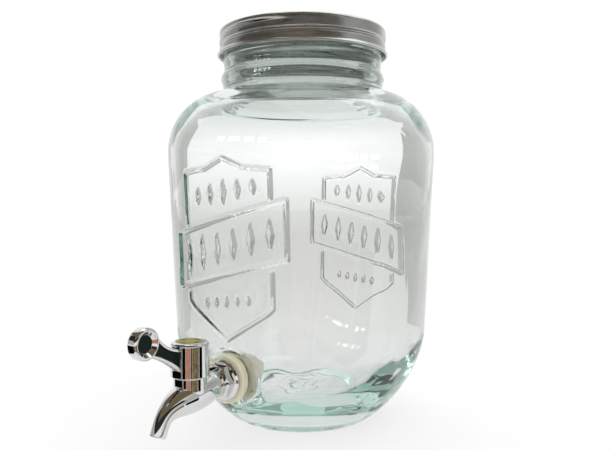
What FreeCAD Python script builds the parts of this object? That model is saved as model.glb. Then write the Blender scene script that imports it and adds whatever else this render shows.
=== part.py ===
"""Glass drinks dispenser jar with a metal screw lid and a chrome lever tap.

The frame has +Z up and its origin on the jar's axis, on the plane that the base rests on.
The tap faces -Y. Lengths are in millimetres and angles in degrees.
"""
import FreeCAD, Part
import math
import os
import Sketcher
from FreeCAD import Placement, Rotation, Vector

DIMENSIONS = {
    # Whole object
    "total_height": 260.0,
    # Glass jar, widths taken from its axis
    "corner_reach_top": 90.7,
    "corner_reach_low": 85.0,
    "corner_offset": 20.2,
    "bow_angle": 13.3,
    "shoulder_height": 40.5,
    "heel_level": 57.6,
    "base_radius": 44.0,
    "wall": 4.0,
    "floor_level": 10.5,
    "floor_radius": 36.0,
    "push_up_radius": 35.0,
    "push_up_height": 5.0,
    "base_ring_radius": 24.0,
    "base_ring_depth": 0.8,
    # Neck of the jar
    "neck_height": 43.0,
    "mouth_radius": 47.5,
    "neck_wall": 5.7,
    "neck_flare": 0.3,
    "collar_height": 12.0,
    "collar_step": 2.0,
    "collar_slope": 2.6,
    "rim_round": 2.0,
    # Screw lid
    "lid_clearance": 2.4,
    "lid_height": 17.8,
    "lid_gauge": 0.6,
    "lid_round": 2.4,
    "lid_panel_margin": 2.5,
    "lid_panel_drop": 0.9,
    "lid_band": 9.2,
    "lid_bead_height": 2.4,
    "lid_bead_depth": 1.6,
    "lid_flare": 0.6,
    "lid_flare_height": 3.0,
    "lid_curl_radius": 0.8,
    "seal_thickness": 1.2,
    "seal_width": 6.0,
    "seal_overhang": 0.6,
    # Tap seat in the glass
    "tap_level": 40.0,
    "seat_inset": 7.5,
    "boss_radius": 17.5,
    "boss_plate": 5.0,
    "shank_radius": 7.4,
    "hole_clearance": 0.4,
    "outer_washer_radius": 14.5,
    "outer_washer_thickness": 5.0,
    "inner_washer_radius": 14.0,
    "inner_washer_thickness": 4.0,
    "seat_clearance": 0.5,
    # Lock nut
    "nut_across_flats": 21.0,
    "nut_length": 9.0,
    "nut_flange_radius": 12.6,
    "nut_flange_thickness": 2.6,
    "nut_bore_clearance": 0.1,
    "shank_past_nut": 6.0,
    # Tap body
    "flange_radius": 12.0,
    "flange_thickness": 2.6,
    "hex_across_flats": 18.6,
    "hex_length": 6.0,
    "barrel_reach": 34.1,
    "barrel_radius": 9.4,
    "barrel_height": 8.5,
    "passage_radius": 2.8,
    "spout_root_radius": 6.5,
    "spout_belly_radius": 9.7,
    "spout_middle_radius": 6.6,
    "spout_throat_radius": 4.75,
    "spout_tip_radius": 4.45,
    "spout_bend_reach": 17.7,
    "spout_bend_drop": 3.9,
    "spout_reach": 24.85,
    "spout_drop": 19.4,
    "spout_tip_lean": 20.6,
    "spout_tip_run": 14.2,
    # Valve
    "plug_radius": 5.4,
    "running_clearance": 0.05,
    "plug_depth": 6.6,
    "plug_flange_radius": 7.0,
    "plug_flange_thickness": 1.2,
    "flange_clearance": 0.3,
    "o_ring_section": 0.7,
    "o_ring_clearance": 0.05,
    "o_ring_spacing": 4.6,
    "retaining_ring_thickness": 0.8,
    "retaining_ring_grip": 0.5,
    "stem_radius": 4.0,
    "stem_square": 5.6,
    "stem_height": 10.0,
    "socket_clearance": 0.1,
    # Handle
    "handle_gap": 0.3,
    "cap_radius": 10.85,
    "cap_height": 19.2,
    "cap_round": 1.8,
    "badge_radius": 7.7,
    "badge_thickness": 1.0,
    "badge_clearance": 0.15,
    "lever_reach": 34.2,
    "lever_rise": 4.2,
    "lever_width": 6.4,
    "lever_web": 3.0,
    "lever_rib": 1.5,
    "lever_root_top": 2.6,
    "lever_root_low": 16.6,
    "lever_top_bow": 24.0,
    "lever_low_bow": 60.0,
    "finger_ring_radius": 8.7,
    "finger_ring_width": 7.0,
    "finger_cup_radius": 6.2,
    "finger_cup_depth": 2.6,
    "screw_radius": 1.25,
    "screw_length": 7.0,
    "screw_head_radius": 2.6,
    "screw_head_height": 1.8,
    "head_seat_gap": 1.5,
}

# Exponents of the rounded curves that lead from the body to the base and to the neck
HEEL_OUT_POWER = 1.5
HEEL_DOWN_POWER = 1.4
HEEL_SQUARE_POWER = 8
SHOULDER_OUT_POWER = 1.1
SHOULDER_UP_POWER = 0.926
CURVE_STEPS = 9
BODY_STEPS = 9
# Part of the wall's thickness that the inner shoulder stays below the foot of the neck
INNER_NECK_DROP = 0.75
OVERLAP = 3.0
FULL_TURN = 360.0
ROOT_TWO = math.sqrt(2.0)

doc = FreeCAD.newDocument("drinks_dispenser")
sheet = doc.addObject("Spreadsheet::Sheet", "Dims")
for row, (alias, number) in enumerate(DIMENSIONS.items(), start=1):
    sheet.set(f"A{row}", alias)
    sheet.set(f"B{row}", str(number))
    sheet.setAlias(f"B{row}", alias)
doc.recompute()


class Size:
    """A length that carries both its value and the sheet formula that gives it."""

    def __init__(self, value, formula):
        self.value = float(value)
        self.formula = formula

    @staticmethod
    def of(other):
        """A plain number as a size, or the size itself."""
        if isinstance(other, Size):
            return other
        return Size(other, repr(float(other)))

    def joined(self, other, sign, value):
        """The size that two sizes give when the sign joins them."""
        return Size(value, f"({self.formula} {sign} {Size.of(other).formula})")

    def __add__(self, other):
        return self.joined(other, "+", self.value + Size.of(other).value)

    def __sub__(self, other):
        return self.joined(other, "-", self.value - Size.of(other).value)

    def __mul__(self, other):
        return self.joined(other, "*", self.value * Size.of(other).value)

    def __truediv__(self, other):
        return self.joined(other, "/", self.value / Size.of(other).value)

    def __neg__(self):
        return Size(-self.value, f"(-1 * {self.formula})")


def size(alias):
    """A driving dimension from the sheet."""
    return Size(sheet.get(alias), f"Dims.{alias}")


ZERO = Size.of(0.0)
RIM = size("total_height") - size("lid_gauge") - size("seal_thickness")
NECK_FOOT = size("total_height") - size("neck_height")
SHOULDER = NECK_FOOT - size("shoulder_height")
NECK_RADIUS = size("mouth_radius") + size("neck_wall")
COLLAR_RADIUS = NECK_RADIUS + size("collar_step")
LID_FOOT = size("total_height") - size("lid_height")
LID_RADIUS = NECK_RADIUS + size("lid_clearance") + size("lid_gauge")
TAP_Z = size("tap_level")
TAP_SEAT = size("corner_reach_low") - size("seat_inset")
SEAT_Y = -TAP_SEAT
BORE_RADIUS = size("shank_radius") + size("hole_clearance")
FLANGE_Y = SEAT_Y - size("outer_washer_thickness")
HEX_Y = FLANGE_Y - size("flange_thickness")
NECK_Y = HEX_Y - size("hex_length")
INNER_SEAT_Y = SEAT_Y + size("boss_plate")
NUT_Y = INNER_SEAT_Y + size("inner_washer_thickness")
NUT_END_Y = NUT_Y + size("nut_flange_thickness") + size("nut_length")
SHANK_END_Y = NUT_END_Y + size("shank_past_nut")
BARREL_Y = SEAT_Y - size("barrel_reach")
BARREL_TOP = TAP_Z + size("barrel_height")
CAP_FOOT = BARREL_TOP + size("handle_gap")
CAP_TOP = CAP_FOOT + size("cap_height")
PLUG_BORE = size("plug_radius") + size("running_clearance")
PLUG_FOOT = TAP_Z - size("plug_depth")
RING_FOOT = BARREL_TOP - size("handle_gap") - size("retaining_ring_thickness")
PLUG_FLANGE_TOP = RING_FOOT - size("handle_gap") / 2
PLUG_FLANGE_FOOT = PLUG_FLANGE_TOP - size("plug_flange_thickness")
STEM_TOP = CAP_FOOT + size("stem_height")
OUTWARD = Rotation(Vector(1, 0, 0), 90)
INWARD = Rotation(Vector(1, 0, 0), -90)


def bind(thing, settings):
    """Tie properties of an object to sizes of the sheet."""
    for name, length in settings.items():
        thing.setExpression(name, length.formula)


def place(thing, x=ZERO, y=ZERO, z=ZERO, turn=None):
    """Put an object at a point that follows the sheet, turned if asked."""
    thing.Placement = Placement(Vector(x.value, y.value, z.value), turn or Rotation())
    bind(thing, {"Placement.Base.x": x, "Placement.Base.y": y, "Placement.Base.z": z})
    return thing


def cylinder(name, radius, height, **where):
    """A Part cylinder whose sizes follow the sheet."""
    thing = doc.addObject("Part::Cylinder", name)
    bind(thing, {"Radius": radius, "Height": height})
    return place(thing, **where)


def hexagon(name, across_flats, height, **where):
    """A hexagonal prism whose sizes follow the sheet."""
    thing = doc.addObject("Part::Prism", name)
    thing.Polygon = 6
    bind(thing, {"Circumradius": across_flats / math.sqrt(3.0), "Height": height})
    return place(thing, **where)


def cone(name, low_radius, high_radius, height, **where):
    """A cone whose sizes follow the sheet."""
    thing = doc.addObject("Part::Cone", name)
    bind(thing, {"Radius1": low_radius, "Radius2": high_radius, "Height": height})
    return place(thing, **where)


def square_bar(name, side, height, y, z):
    """An upright square bar centred on an axis."""
    thing = doc.addObject("Part::Box", name)
    bind(thing, {"Length": side, "Width": side, "Height": height})
    return place(thing, x=-side / 2, y=y - side / 2, z=z)


def fused(name, *things):
    """The union of several objects."""
    thing = doc.addObject("Part::MultiFuse", name)
    thing.Shapes = list(things)
    thing.Refine = True
    return thing


def cut(name, base, *tools):
    """An object less one or more others."""
    tool = tools[0] if len(tools) == 1 else fused(f"{name}_tools", *tools)
    thing = doc.addObject("Part::Cut", name)
    thing.Base = base
    thing.Tool = tool
    thing.Refine = True
    return thing


def common(name, base, tool):
    """What two objects share."""
    thing = doc.addObject("Part::Common", name)
    thing.Base = base
    thing.Tool = tool
    return thing


def pin_point(sketch, edge, end, across, up):
    """Fix one end of a sketch edge at a point that follows the sheet."""
    for kind, axis, length in (("DistanceX", -2, across), ("DistanceY", -1, up)):
        if length is ZERO:
            sketch.addConstraint(Sketcher.Constraint("PointOnObject", edge, end, axis))
            continue
        index = sketch.addConstraint(Sketcher.Constraint(kind, edge, end, length.value))
        sketch.setExpression(f"Constraints[{index}]", length.formula)


def line_loop(sketch, corners):
    """A closed loop of straight edges through corners that follow the sheet."""
    points = [Vector(across.value, up.value, 0) for across, up in corners]
    count = len(points)
    for i, point in enumerate(points):
        sketch.addGeometry(Part.LineSegment(point, points[(i + 1) % count]))
    for i, (across, up) in enumerate(corners):
        sketch.addConstraint(Sketcher.Constraint("Coincident", i, 2, (i + 1) % count, 1))
        pin_point(sketch, i, 1, across, up)


def body_sketch(body, name, role):
    """A sketch on one of a body's own origin planes."""
    sketch = body.newObject("Sketcher::SketchObject", name)
    plane = next(item for item in body.Origin.OriginFeatures if item.Role == role)
    sketch.AttachmentSupport = [(plane, "")]
    sketch.MapMode = "FlatFace"
    return sketch


def turned(name, corners, rounds=()):
    """A body revolved about Z, with round edges given as (radius, level, rounding)."""
    body = doc.addObject("PartDesign::Body", name)
    sketch = body_sketch(body, f"{name}_profile", "XZ_Plane")
    line_loop(sketch, corners)
    feature = body.newObject("PartDesign::Revolution", f"{name}_revolution")
    feature.Profile = sketch
    feature.ReferenceAxis = (sketch, ["V_Axis"])
    feature.Angle = FULL_TURN
    doc.recompute()
    for i, (radius, level, rounding) in enumerate(rounds):
        fillet = body.newObject("PartDesign::Fillet", f"{name}_round_{i}")
        fillet.Base = (feature, ring_edges(feature.Shape, radius, level))
        bind(fillet, {"Radius": rounding})
        feature = fillet
        doc.recompute()
    return body


def ring_edges(shape, radius, level):
    """Names of the circular edges about Z with a given radius and level."""
    near = 1e-4
    names = []
    for i, edge in enumerate(shape.Edges, start=1):
        curve = edge.Curve
        if not isinstance(curve, Part.Circle):
            continue
        if abs(curve.Radius - radius.value) < near and abs(curve.Center.z - level.value) < near:
            names.append(f"Edge{i}")
    return names


def rounded_square(level, corner_reach, offset):
    """A closed wire of four bowed sides and four round corners; with no offset it is a circle.

    corner_reach is from the axis to a corner, and offset is how far each corner's centre
    lies out along X and Y. The sides and corners meet at a fixed angle from each side's middle.
    """
    bow = math.radians(size("bow_angle").value)
    face = corner_reach - offset * (ROOT_TWO + 1 / math.tan(bow) - 1 - 1 / math.sin(bow))
    bow_radius = face + offset * (1 / math.tan(bow) - 1)
    corner_radius = bow_radius - offset / math.sin(bow)
    edges = []
    for quarter in range(4):
        turn = Rotation(Vector(0, 0, 1), 90 * quarter)
        side = [on_circle(face - bow_radius, 0, bow_radius, angle) for angle in (-bow, 0, bow)]
        corner_angles = (bow, math.pi / 4, math.pi / 2 - bow)
        corner = [on_circle(offset, offset, corner_radius, angle) for angle in corner_angles]
        for arc in (side, corner):
            points = [turn.multVec(Vector(x, y, level)) for x, y in arc]
            edges.append(Part.Arc(*points).toShape())
    return Part.Wire(edges)


def on_circle(across, up, radius, angle):
    """A point of a circle at an angle in radians."""
    return across + radius * math.cos(angle), up + radius * math.sin(angle)


def jar_sections(foot, foot_radius, inset, neck, neck_radius):
    """Wires up the jar, from the base ring through the heel, the body and the shoulder."""
    low = size("corner_reach_low").value - inset
    top = size("corner_reach_top").value - inset
    heel = size("heel_level").value
    shoulder = SHOULDER.value
    offset = size("corner_offset").value
    angles = [math.pi / 2 * step / CURVE_STEPS for step in range(CURVE_STEPS + 1)]
    wires = []
    for angle in reversed(angles):
        out = max(math.cos(angle), 0.0) ** HEEL_OUT_POWER
        down = math.sin(angle) ** HEEL_DOWN_POWER
        level = foot + (heel - foot) * (1 - down)
        reach = foot_radius + (low - foot_radius) * out
        wires.append(rounded_square(level, reach, offset * math.cos(angle) ** HEEL_SQUARE_POWER))
    for step in range(1, BODY_STEPS):
        share = step / BODY_STEPS
        wires.append(rounded_square(heel + (shoulder - heel) * share, low + (top - low) * share, offset))
    for angle in reversed(angles):
        out = math.sin(angle) ** SHOULDER_OUT_POWER
        up = max(math.cos(angle), 0.0) ** SHOULDER_UP_POWER
        level = shoulder + (neck - shoulder) * up
        reach = neck_radius + (top - neck_radius) * out
        wires.append(rounded_square(level, reach, offset * math.sin(angle) ** 2))
    return wires


def lofted(name, wires):
    """A smooth solid through closed wires."""
    thing = doc.addObject("Part::Feature", name)
    thing.Shape = Part.makeLoft(wires, True, False)
    thing.Placement = Placement()
    return thing


def make_jar():
    """The glass jar: body, neck and tap boss, hollowed, with its mouth and its tap hole open."""
    wall = size("wall").value
    neck = NECK_FOOT.value
    outside = lofted("jar_outside", jar_sections(
        0.0, size("base_radius").value, 0.0, neck, (COLLAR_RADIUS + size("neck_flare")).value))
    inside = lofted("jar_inside", jar_sections(
        size("floor_level").value, size("floor_radius").value, wall,
        neck - wall * INNER_NECK_DROP, size("mouth_radius").value))
    neck_foot = NECK_FOOT - OVERLAP
    collar_top = NECK_FOOT + size("collar_height")
    neck_body = turned("jar_neck", [
        (ZERO, neck_foot),
        (COLLAR_RADIUS, neck_foot),
        (COLLAR_RADIUS, collar_top),
        (NECK_RADIUS, collar_top + size("collar_slope")),
        (NECK_RADIUS, RIM),
        (ZERO, RIM),
    ], [(NECK_RADIUS, RIM, size("rim_round"))])
    boss_depth = TAP_SEAT / 4
    boss = cylinder("tap_boss", size("boss_radius"), boss_depth,
                    y=SEAT_Y + boss_depth, z=TAP_Z, turn=OUTWARD)
    bore_foot = NECK_FOOT - size("wall") * INNER_NECK_DROP - OVERLAP
    mouth = cylinder("mouth_bore", size("mouth_radius"), size("total_height") - bore_foot, z=bore_foot)
    spot_face = cylinder("outer_seat", size("boss_radius"), boss_depth, y=SEAT_Y, z=TAP_Z, turn=OUTWARD)
    recess = cylinder("inner_seat", size("inner_washer_radius") + size("seat_clearance"),
                      TAP_SEAT / 2, y=INNER_SEAT_Y, z=TAP_Z, turn=INWARD)
    hole = cylinder("tap_hole", BORE_RADIUS, TAP_SEAT, y=SEAT_Y - OVERLAP, z=TAP_Z, turn=INWARD)
    push_up = cone("push_up", size("push_up_radius"), size("base_ring_radius") + size("base_ring_depth"),
                   size("push_up_height"))
    base_ring = cylinder("base_ring", size("base_ring_radius"),
                         size("push_up_height") + size("base_ring_depth"))
    blank = fused("jar_blank", outside, neck_body, boss)
    return cut("jar", blank, inside, mouth, spot_face, recess, hole, push_up, base_ring)


def make_lid_shell():
    """The sheet metal lid: sunk panel, band, inward bead, flared skirt and curled edge."""
    top = size("total_height")
    radius = LID_RADIUS
    gauge = size("lid_gauge")
    panel = size("mouth_radius") - size("lid_panel_margin")
    drop = size("lid_panel_drop")
    bead_top = top - size("lid_band")
    bead_depth = size("lid_bead_depth")
    bead_half = size("lid_bead_height") / 2
    flare_top = LID_FOOT + size("lid_flare_height")
    flared = radius + size("lid_flare")
    skin = [
        (panel, top - drop, ZERO, gauge),
        (panel + drop, top, gauge / 2, gauge),
        (radius, top, gauge, gauge),
        (radius, bead_top, gauge, ZERO),
        (radius - bead_depth, bead_top - bead_half, gauge, ZERO),
        (radius, bead_top - bead_half * 2, gauge, ZERO),
        (radius, flare_top, gauge, ZERO),
        (flared, LID_FOOT + size("lid_curl_radius"), gauge, ZERO),
    ]
    corners = [(ZERO, top - drop)]
    corners += [(across, up) for across, up, _, _ in skin]
    corners += [(across - inward, up - down) for across, up, inward, down in reversed(skin)]
    corners.append((ZERO, top - drop - gauge))
    rounding = size("lid_round")
    shell = turned("lid_skin", corners, [
        (radius, top, rounding),
        (radius - gauge, top - gauge, rounding - gauge),
    ])
    curl = doc.addObject("Part::Torus", "lid_curl")
    bind(curl, {"Radius1": flared, "Radius2": size("lid_curl_radius")})
    place(curl, z=LID_FOOT + size("lid_curl_radius"))
    return fused("lid_shell", shell, curl)


def make_lid_seal():
    """The liner ring that lies between the lid and the glass rim."""
    top = size("total_height") - size("lid_gauge")
    outer = size("mouth_radius") + size("seal_width")
    inner = size("mouth_radius") - size("seal_overhang")
    return turned("lid_seal", [(inner, RIM), (outer, RIM), (outer, top), (inner, top)])


def washer(name, radius, thickness, y):
    """A flat washer on the tap's shank, from y outwards."""
    ring = cylinder(f"{name}_disc", radius, thickness, y=y, z=TAP_Z, turn=OUTWARD)
    hole = cylinder(f"{name}_hole", BORE_RADIUS, thickness, y=y, z=TAP_Z, turn=OUTWARD)
    return cut(name, ring, hole)


def make_lock_nut():
    """The flanged hex nut inside the jar, with chamfered corners."""
    flats = size("nut_across_flats")
    length = size("nut_length")
    flange = cylinder("nut_flange", size("nut_flange_radius"), size("nut_flange_thickness"),
                      y=NUT_Y, z=TAP_Z, turn=INWARD)
    hex_y = NUT_Y + size("nut_flange_thickness")
    prism = hexagon("nut_prism", flats, length, y=hex_y, z=TAP_Z, turn=INWARD)
    chamfer = cone("nut_chamfer", flats / 2 + length, flats / 2, length, y=hex_y, z=TAP_Z, turn=INWARD)
    bore_radius = size("shank_radius") + size("nut_bore_clearance")
    bore = cylinder("nut_bore", bore_radius, length * 2, y=NUT_Y, z=TAP_Z, turn=INWARD)
    return cut("lock_nut", fused("nut_solid", flange, common("nut_hex", prism, chamfer)), bore)


def curve_point(controls, share):
    """A point of a cubic curve and the way that it runs there, in the plane of the tap."""
    weights = [(1 - share) ** 3, 3 * share * (1 - share) ** 2, 3 * share ** 2 * (1 - share), share ** 3]
    point = Vector()
    for weight, control in zip(weights, controls):
        point += control * weight
    steps = [controls[i + 1] - controls[i] for i in range(3)]
    heading = steps[0] * (1 - share) ** 2 + steps[1] * 2 * share * (1 - share) + steps[2] * share ** 2
    return point, heading


def spout_curve(start, first):
    """Control points of a curve that leaves the tap and turns down into the spout's tip."""
    lean = math.radians(size("spout_tip_lean").value)
    tip = Vector(0, (BARREL_Y - size("spout_reach")).value, (TAP_Z - size("spout_drop")).value)
    before = tip + Vector(0, math.sin(lean), math.cos(lean)) * size("spout_tip_run").value
    return [start, first, before, tip]


def tube_along(name, controls, radii):
    """A round tube with a radius for each of the evenly spaced stations of a curve."""
    rings = []
    last = len(radii) - 1
    for i, radius in enumerate(radii):
        point, heading = curve_point(controls, i / last)
        ring = doc.addObject("Part::Circle", f"{name}_ring_{i}")
        bind(ring, {"Radius": radius})
        ring.Placement = Placement(point, Rotation(Vector(0, 0, 1), heading))
        rings.append(ring)
    loft = doc.addObject("Part::Loft", name)
    loft.Sections = rings
    loft.Solid = True
    return loft


def make_tap_body():
    """The tap's casting: shank, flange, hex, barrel and spout, with its passages open."""
    barrel = BARREL_Y.value
    level = TAP_Z.value
    shank = cylinder("shank", size("shank_radius"), SHANK_END_Y - FLANGE_Y, y=FLANGE_Y, z=TAP_Z, turn=INWARD)
    flange = cone("flange", size("flange_radius"), size("flange_radius") - size("flange_thickness") / 2,
                  size("flange_thickness"), y=FLANGE_Y, z=TAP_Z, turn=OUTWARD)
    flats = size("hex_across_flats")
    length = size("hex_length")
    prism = hexagon("hex_prism", flats, length, y=HEX_Y, z=TAP_Z, turn=OUTWARD)
    chamfer = cone("hex_chamfer", flats / 2 + length, flats / 2, length, y=HEX_Y, z=TAP_Z, turn=OUTWARD)
    root = Vector(0, NECK_Y.value + OVERLAP, level)
    below = Vector(0, barrel - size("spout_bend_reach").value, level - size("spout_bend_drop").value)
    spout = tube_along("spout", spout_curve(root, below), [
        size("spout_root_radius"), size("spout_belly_radius"), size("spout_middle_radius"),
        size("spout_throat_radius"), size("spout_tip_radius"),
    ])
    barrel_foot = TAP_Z - size("plug_radius")
    tower = cylinder("barrel", size("barrel_radius"), BARREL_TOP - barrel_foot, y=BARREL_Y, z=barrel_foot)
    solid = fused("tap_solid", shank, flange, common("hex", prism, chamfer), spout, tower)
    inlet = cylinder("inlet", size("passage_radius"), SHANK_END_Y - BARREL_Y,
                     y=BARREL_Y, z=TAP_Z, turn=INWARD)
    first = Vector(0, barrel - size("barrel_radius").value, level)
    outlet = tube_along("outlet", spout_curve(Vector(0, barrel, level), first), [size("passage_radius")] * 5)
    bore = cylinder("plug_bore", PLUG_BORE, BARREL_TOP - PLUG_FOOT, y=BARREL_Y, z=PLUG_FOOT)
    pocket_radius = size("plug_flange_radius") + size("flange_clearance")
    pocket = cylinder("flange_pocket", pocket_radius, BARREL_TOP - PLUG_FLANGE_FOOT,
                      y=BARREL_Y, z=PLUG_FLANGE_FOOT)
    groove = cylinder("ring_groove", pocket_radius + size("retaining_ring_grip"),
                      size("retaining_ring_thickness"), y=BARREL_Y, z=RING_FOOT)
    return cut("tap_body", solid, inlet, outlet, bore, pocket, groove)


def make_valve_plug():
    """The rotary plug: two ring grooves, a cross port, a flange and a square stem."""
    radius = size("plug_radius")
    half_groove = size("o_ring_section") + size("o_ring_clearance")
    groove_radius = radius - size("o_ring_section") * 2
    foot = PLUG_FOOT + size("handle_gap") / 2
    corners = [(ZERO, foot), (radius, foot)]
    for middle in (TAP_Z - size("o_ring_spacing"), TAP_Z + size("o_ring_spacing")):
        corners += [
            (radius, middle - half_groove),
            (groove_radius, middle - half_groove),
            (groove_radius, middle + half_groove),
            (radius, middle + half_groove),
        ]
    corners += [
        (radius, PLUG_FLANGE_FOOT),
        (size("plug_flange_radius"), PLUG_FLANGE_FOOT),
        (size("plug_flange_radius"), PLUG_FLANGE_TOP),
        (size("stem_radius"), PLUG_FLANGE_TOP),
        (size("stem_radius"), CAP_FOOT),
        (ZERO, CAP_FOOT),
    ]
    turning = place(turned("plug_turning", corners), y=BARREL_Y)
    stem = square_bar("plug_stem", size("stem_square"), size("stem_height"), BARREL_Y, CAP_FOOT)
    port = cylinder("plug_port", size("passage_radius"), radius * 4, x=-radius * 2, y=BARREL_Y, z=TAP_Z,
                    turn=Rotation(Vector(0, 1, 0), 90))
    screw_hole = cylinder("plug_screw_hole", size("screw_radius"), size("screw_length"),
                          y=BARREL_Y, z=STEM_TOP - size("screw_length"))
    return cut("valve_plug", fused("plug_solid", turning, stem), port, screw_hole)


def make_o_ring(name, middle):
    """A sealing ring in one of the plug's grooves."""
    section = size("o_ring_section")
    ring = doc.addObject("Part::Torus", name)
    bind(ring, {"Radius1": size("plug_radius") - section, "Radius2": section})
    return place(ring, y=BARREL_Y, z=middle)


def make_retaining_ring():
    """The ring above the plug's flange, gripped by a groove in the barrel."""
    thickness = size("retaining_ring_thickness")
    outer = size("plug_flange_radius") + size("flange_clearance") + size("retaining_ring_grip")
    disc = cylinder("retaining_disc", outer, thickness, y=BARREL_Y, z=RING_FOOT)
    hole = cylinder("retaining_hole", size("stem_radius") + size("flange_clearance"), thickness,
                    y=BARREL_Y, z=RING_FOOT)
    return cut("retaining_ring", disc, hole)


def arc_edge(start, end, radius, side):
    """An arc between two points of the lever's plane, bulging to the given side."""
    chord = end - start
    half = chord.Length / 2
    normal = Vector(0, -chord.z, chord.y).normalize() * side
    rise = radius - math.sqrt(radius ** 2 - half ** 2)
    return Part.Arc(start, start + chord * 0.5 + normal * rise, end).toShape()


def lever_face(inset):
    """The lever's side outline, drawn in by an inset, from inside the cap to inside the finger ring."""
    top = CAP_TOP.value
    barrel = BARREL_Y.value
    ring_y = (BARREL_Y - size("lever_reach")).value
    ring_z = (CAP_TOP + size("lever_rise")).value
    ring = size("finger_ring_radius").value
    root_top = Vector(0, barrel - size("cap_radius").value * 0.8, top - size("lever_root_top").value - inset)
    root_low = Vector(0, barrel - size("cap_radius").value * 0.8, top - size("lever_root_low").value + inset)
    tip_top = Vector(0, ring_y + ring * 0.62, ring_z + ring * 0.5 - inset)
    tip_low = Vector(0, ring_y + ring * 0.2, ring_z - ring * 0.9 + inset)
    edges = [
        arc_edge(root_top, tip_top, size("lever_top_bow").value + inset, 1),
        Part.makeLine(tip_top, tip_low),
        arc_edge(tip_low, root_low, size("lever_low_bow").value - inset, 1),
        Part.makeLine(root_low, root_top),
    ]
    return Part.Face(Part.Wire(edges))


def lever_plate(name, inset, low, high):
    """A plate of the lever's outline between two distances from its middle plane."""
    thing = doc.addObject("Part::Feature", name)
    thing.Shape = lever_face(inset).extrude(Vector(high.value - low.value, 0, 0))
    return place(thing, x=low)


def make_handle():
    """The handle: a round cap over the stem and a ribbed lever that ends in a finger ring."""
    half = size("lever_width") / 2
    web = size("lever_web") / 2
    plate = lever_plate("lever_plate", 0.0, -half, half)
    rib = size("lever_rib").value
    panels = [
        lever_plate("lever_panel_left", rib, -half, -web),
        lever_plate("lever_panel_right", rib, web, half),
    ]
    ribbed = cut("lever_ribbed", plate, *panels)
    ring_y = BARREL_Y - size("lever_reach")
    ring_z = CAP_TOP + size("lever_rise")
    sideways = Rotation(Vector(0, 1, 0), 90)
    ring_half = size("finger_ring_width") / 2
    ring = cylinder("finger_ring", size("finger_ring_radius"), size("finger_ring_width"),
                    x=-ring_half, y=ring_y, z=ring_z, turn=sideways)
    cup_depth = size("finger_cup_depth")
    cups = [
        cylinder("finger_cup_left", size("finger_cup_radius"), cup_depth,
                 x=-ring_half, y=ring_y, z=ring_z, turn=sideways),
        cylinder("finger_cup_right", size("finger_cup_radius"), cup_depth,
                 x=ring_half - cup_depth, y=ring_y, z=ring_z, turn=sideways),
    ]
    cap = place(turned("handle_cap", [
        (ZERO, CAP_FOOT),
        (size("cap_radius"), CAP_FOOT),
        (size("cap_radius"), CAP_TOP),
        (ZERO, CAP_TOP),
    ], [(size("cap_radius"), CAP_TOP, size("cap_round"))]), y=BARREL_Y)
    recess_depth = size("badge_thickness")
    recess = cylinder("badge_recess", size("badge_radius") + size("badge_clearance"), recess_depth,
                      y=BARREL_Y, z=CAP_TOP - recess_depth)
    socket = square_bar("stem_socket", size("stem_square") + size("socket_clearance") * 2,
                        size("stem_height"), BARREL_Y, CAP_FOOT)
    screw_way = cylinder("screw_way", size("screw_radius") + size("socket_clearance"), size("cap_height"),
                         y=BARREL_Y, z=CAP_FOOT)
    head_seat = STEM_TOP + size("head_seat_gap")
    head_way = cylinder("head_way", size("screw_head_radius") + size("badge_clearance"),
                        CAP_TOP - head_seat, y=BARREL_Y, z=head_seat)
    return cut("handle", fused("handle_solid", cap, ribbed, ring), *cups, recess, socket, screw_way, head_way)


def make_handle_screw():
    """The screw that holds the handle down on the plug's stem."""
    head_seat = STEM_TOP + size("head_seat_gap")
    shank = cylinder("screw_shank", size("screw_radius"), size("screw_length"),
                     y=BARREL_Y, z=head_seat - size("screw_length"))
    head = cylinder("screw_head", size("screw_head_radius"), size("screw_head_height"),
                    y=BARREL_Y, z=head_seat)
    slot = doc.addObject("Part::Box", "screw_slot")
    width = size("screw_radius") / 2
    bind(slot, {"Length": size("screw_head_radius") * 2, "Width": width,
                "Height": size("screw_head_height") / 2})
    place(slot, x=-size("screw_head_radius"), y=BARREL_Y - width / 2,
          z=head_seat + size("screw_head_height") / 2)
    return cut("handle_screw", fused("screw_solid", shank, head), slot)


def make_handle_badge():
    """The thin disc that covers the screw in the top of the handle."""
    return cylinder("handle_badge", size("badge_radius"), size("badge_thickness"),
                    y=BARREL_Y, z=CAP_TOP - size("badge_thickness"))


def check_and_write(pieces):
    """Stop if any object failed, then write one file for each piece."""
    doc.recompute()
    failed = [item.Label for item in doc.Objects if {"Invalid", "Error"} & set(item.State)]
    bad = [item.Label for item in pieces if item.Shape.isNull() or not item.Shape.isValid()]
    if failed or bad:
        raise RuntimeError(f"failed objects {failed}, bad shapes {bad}")
    os.makedirs("parts", exist_ok=True)
    for item in pieces:
        item.Shape.exportStep(f"parts/{item.Label}.step")
        print(item.Label, "solids", len(item.Shape.Solids), "volume", round(item.Shape.Volume, 1))


PIECES = [
    make_jar(),
    make_lid_shell(),
    make_lid_seal(),
    make_tap_body(),
    washer("outer_washer", size("outer_washer_radius"), size("outer_washer_thickness"), SEAT_Y),
    washer("inner_washer", size("inner_washer_radius"), size("inner_washer_thickness"), NUT_Y),
    make_lock_nut(),
    make_valve_plug(),
    make_o_ring("plug_o_ring_upper", TAP_Z + size("o_ring_spacing")),
    make_o_ring("plug_o_ring_lower", TAP_Z - size("o_ring_spacing")),
    make_retaining_ring(),
    make_handle(),
    make_handle_screw(),
    make_handle_badge(),
]
check_and_write(PIECES)
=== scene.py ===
"""Looks of a glass drinks dispenser: pressed glass jar, tinplate screw lid and chrome lever tap.

Meshes are drawn in millimetres in the part's own frame and scaled to metres when they are finished.
"""
import logging
import math
from dataclasses import dataclass, replace
from enum import Enum
from typing import Any, Iterator, Mapping, Sequence

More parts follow.
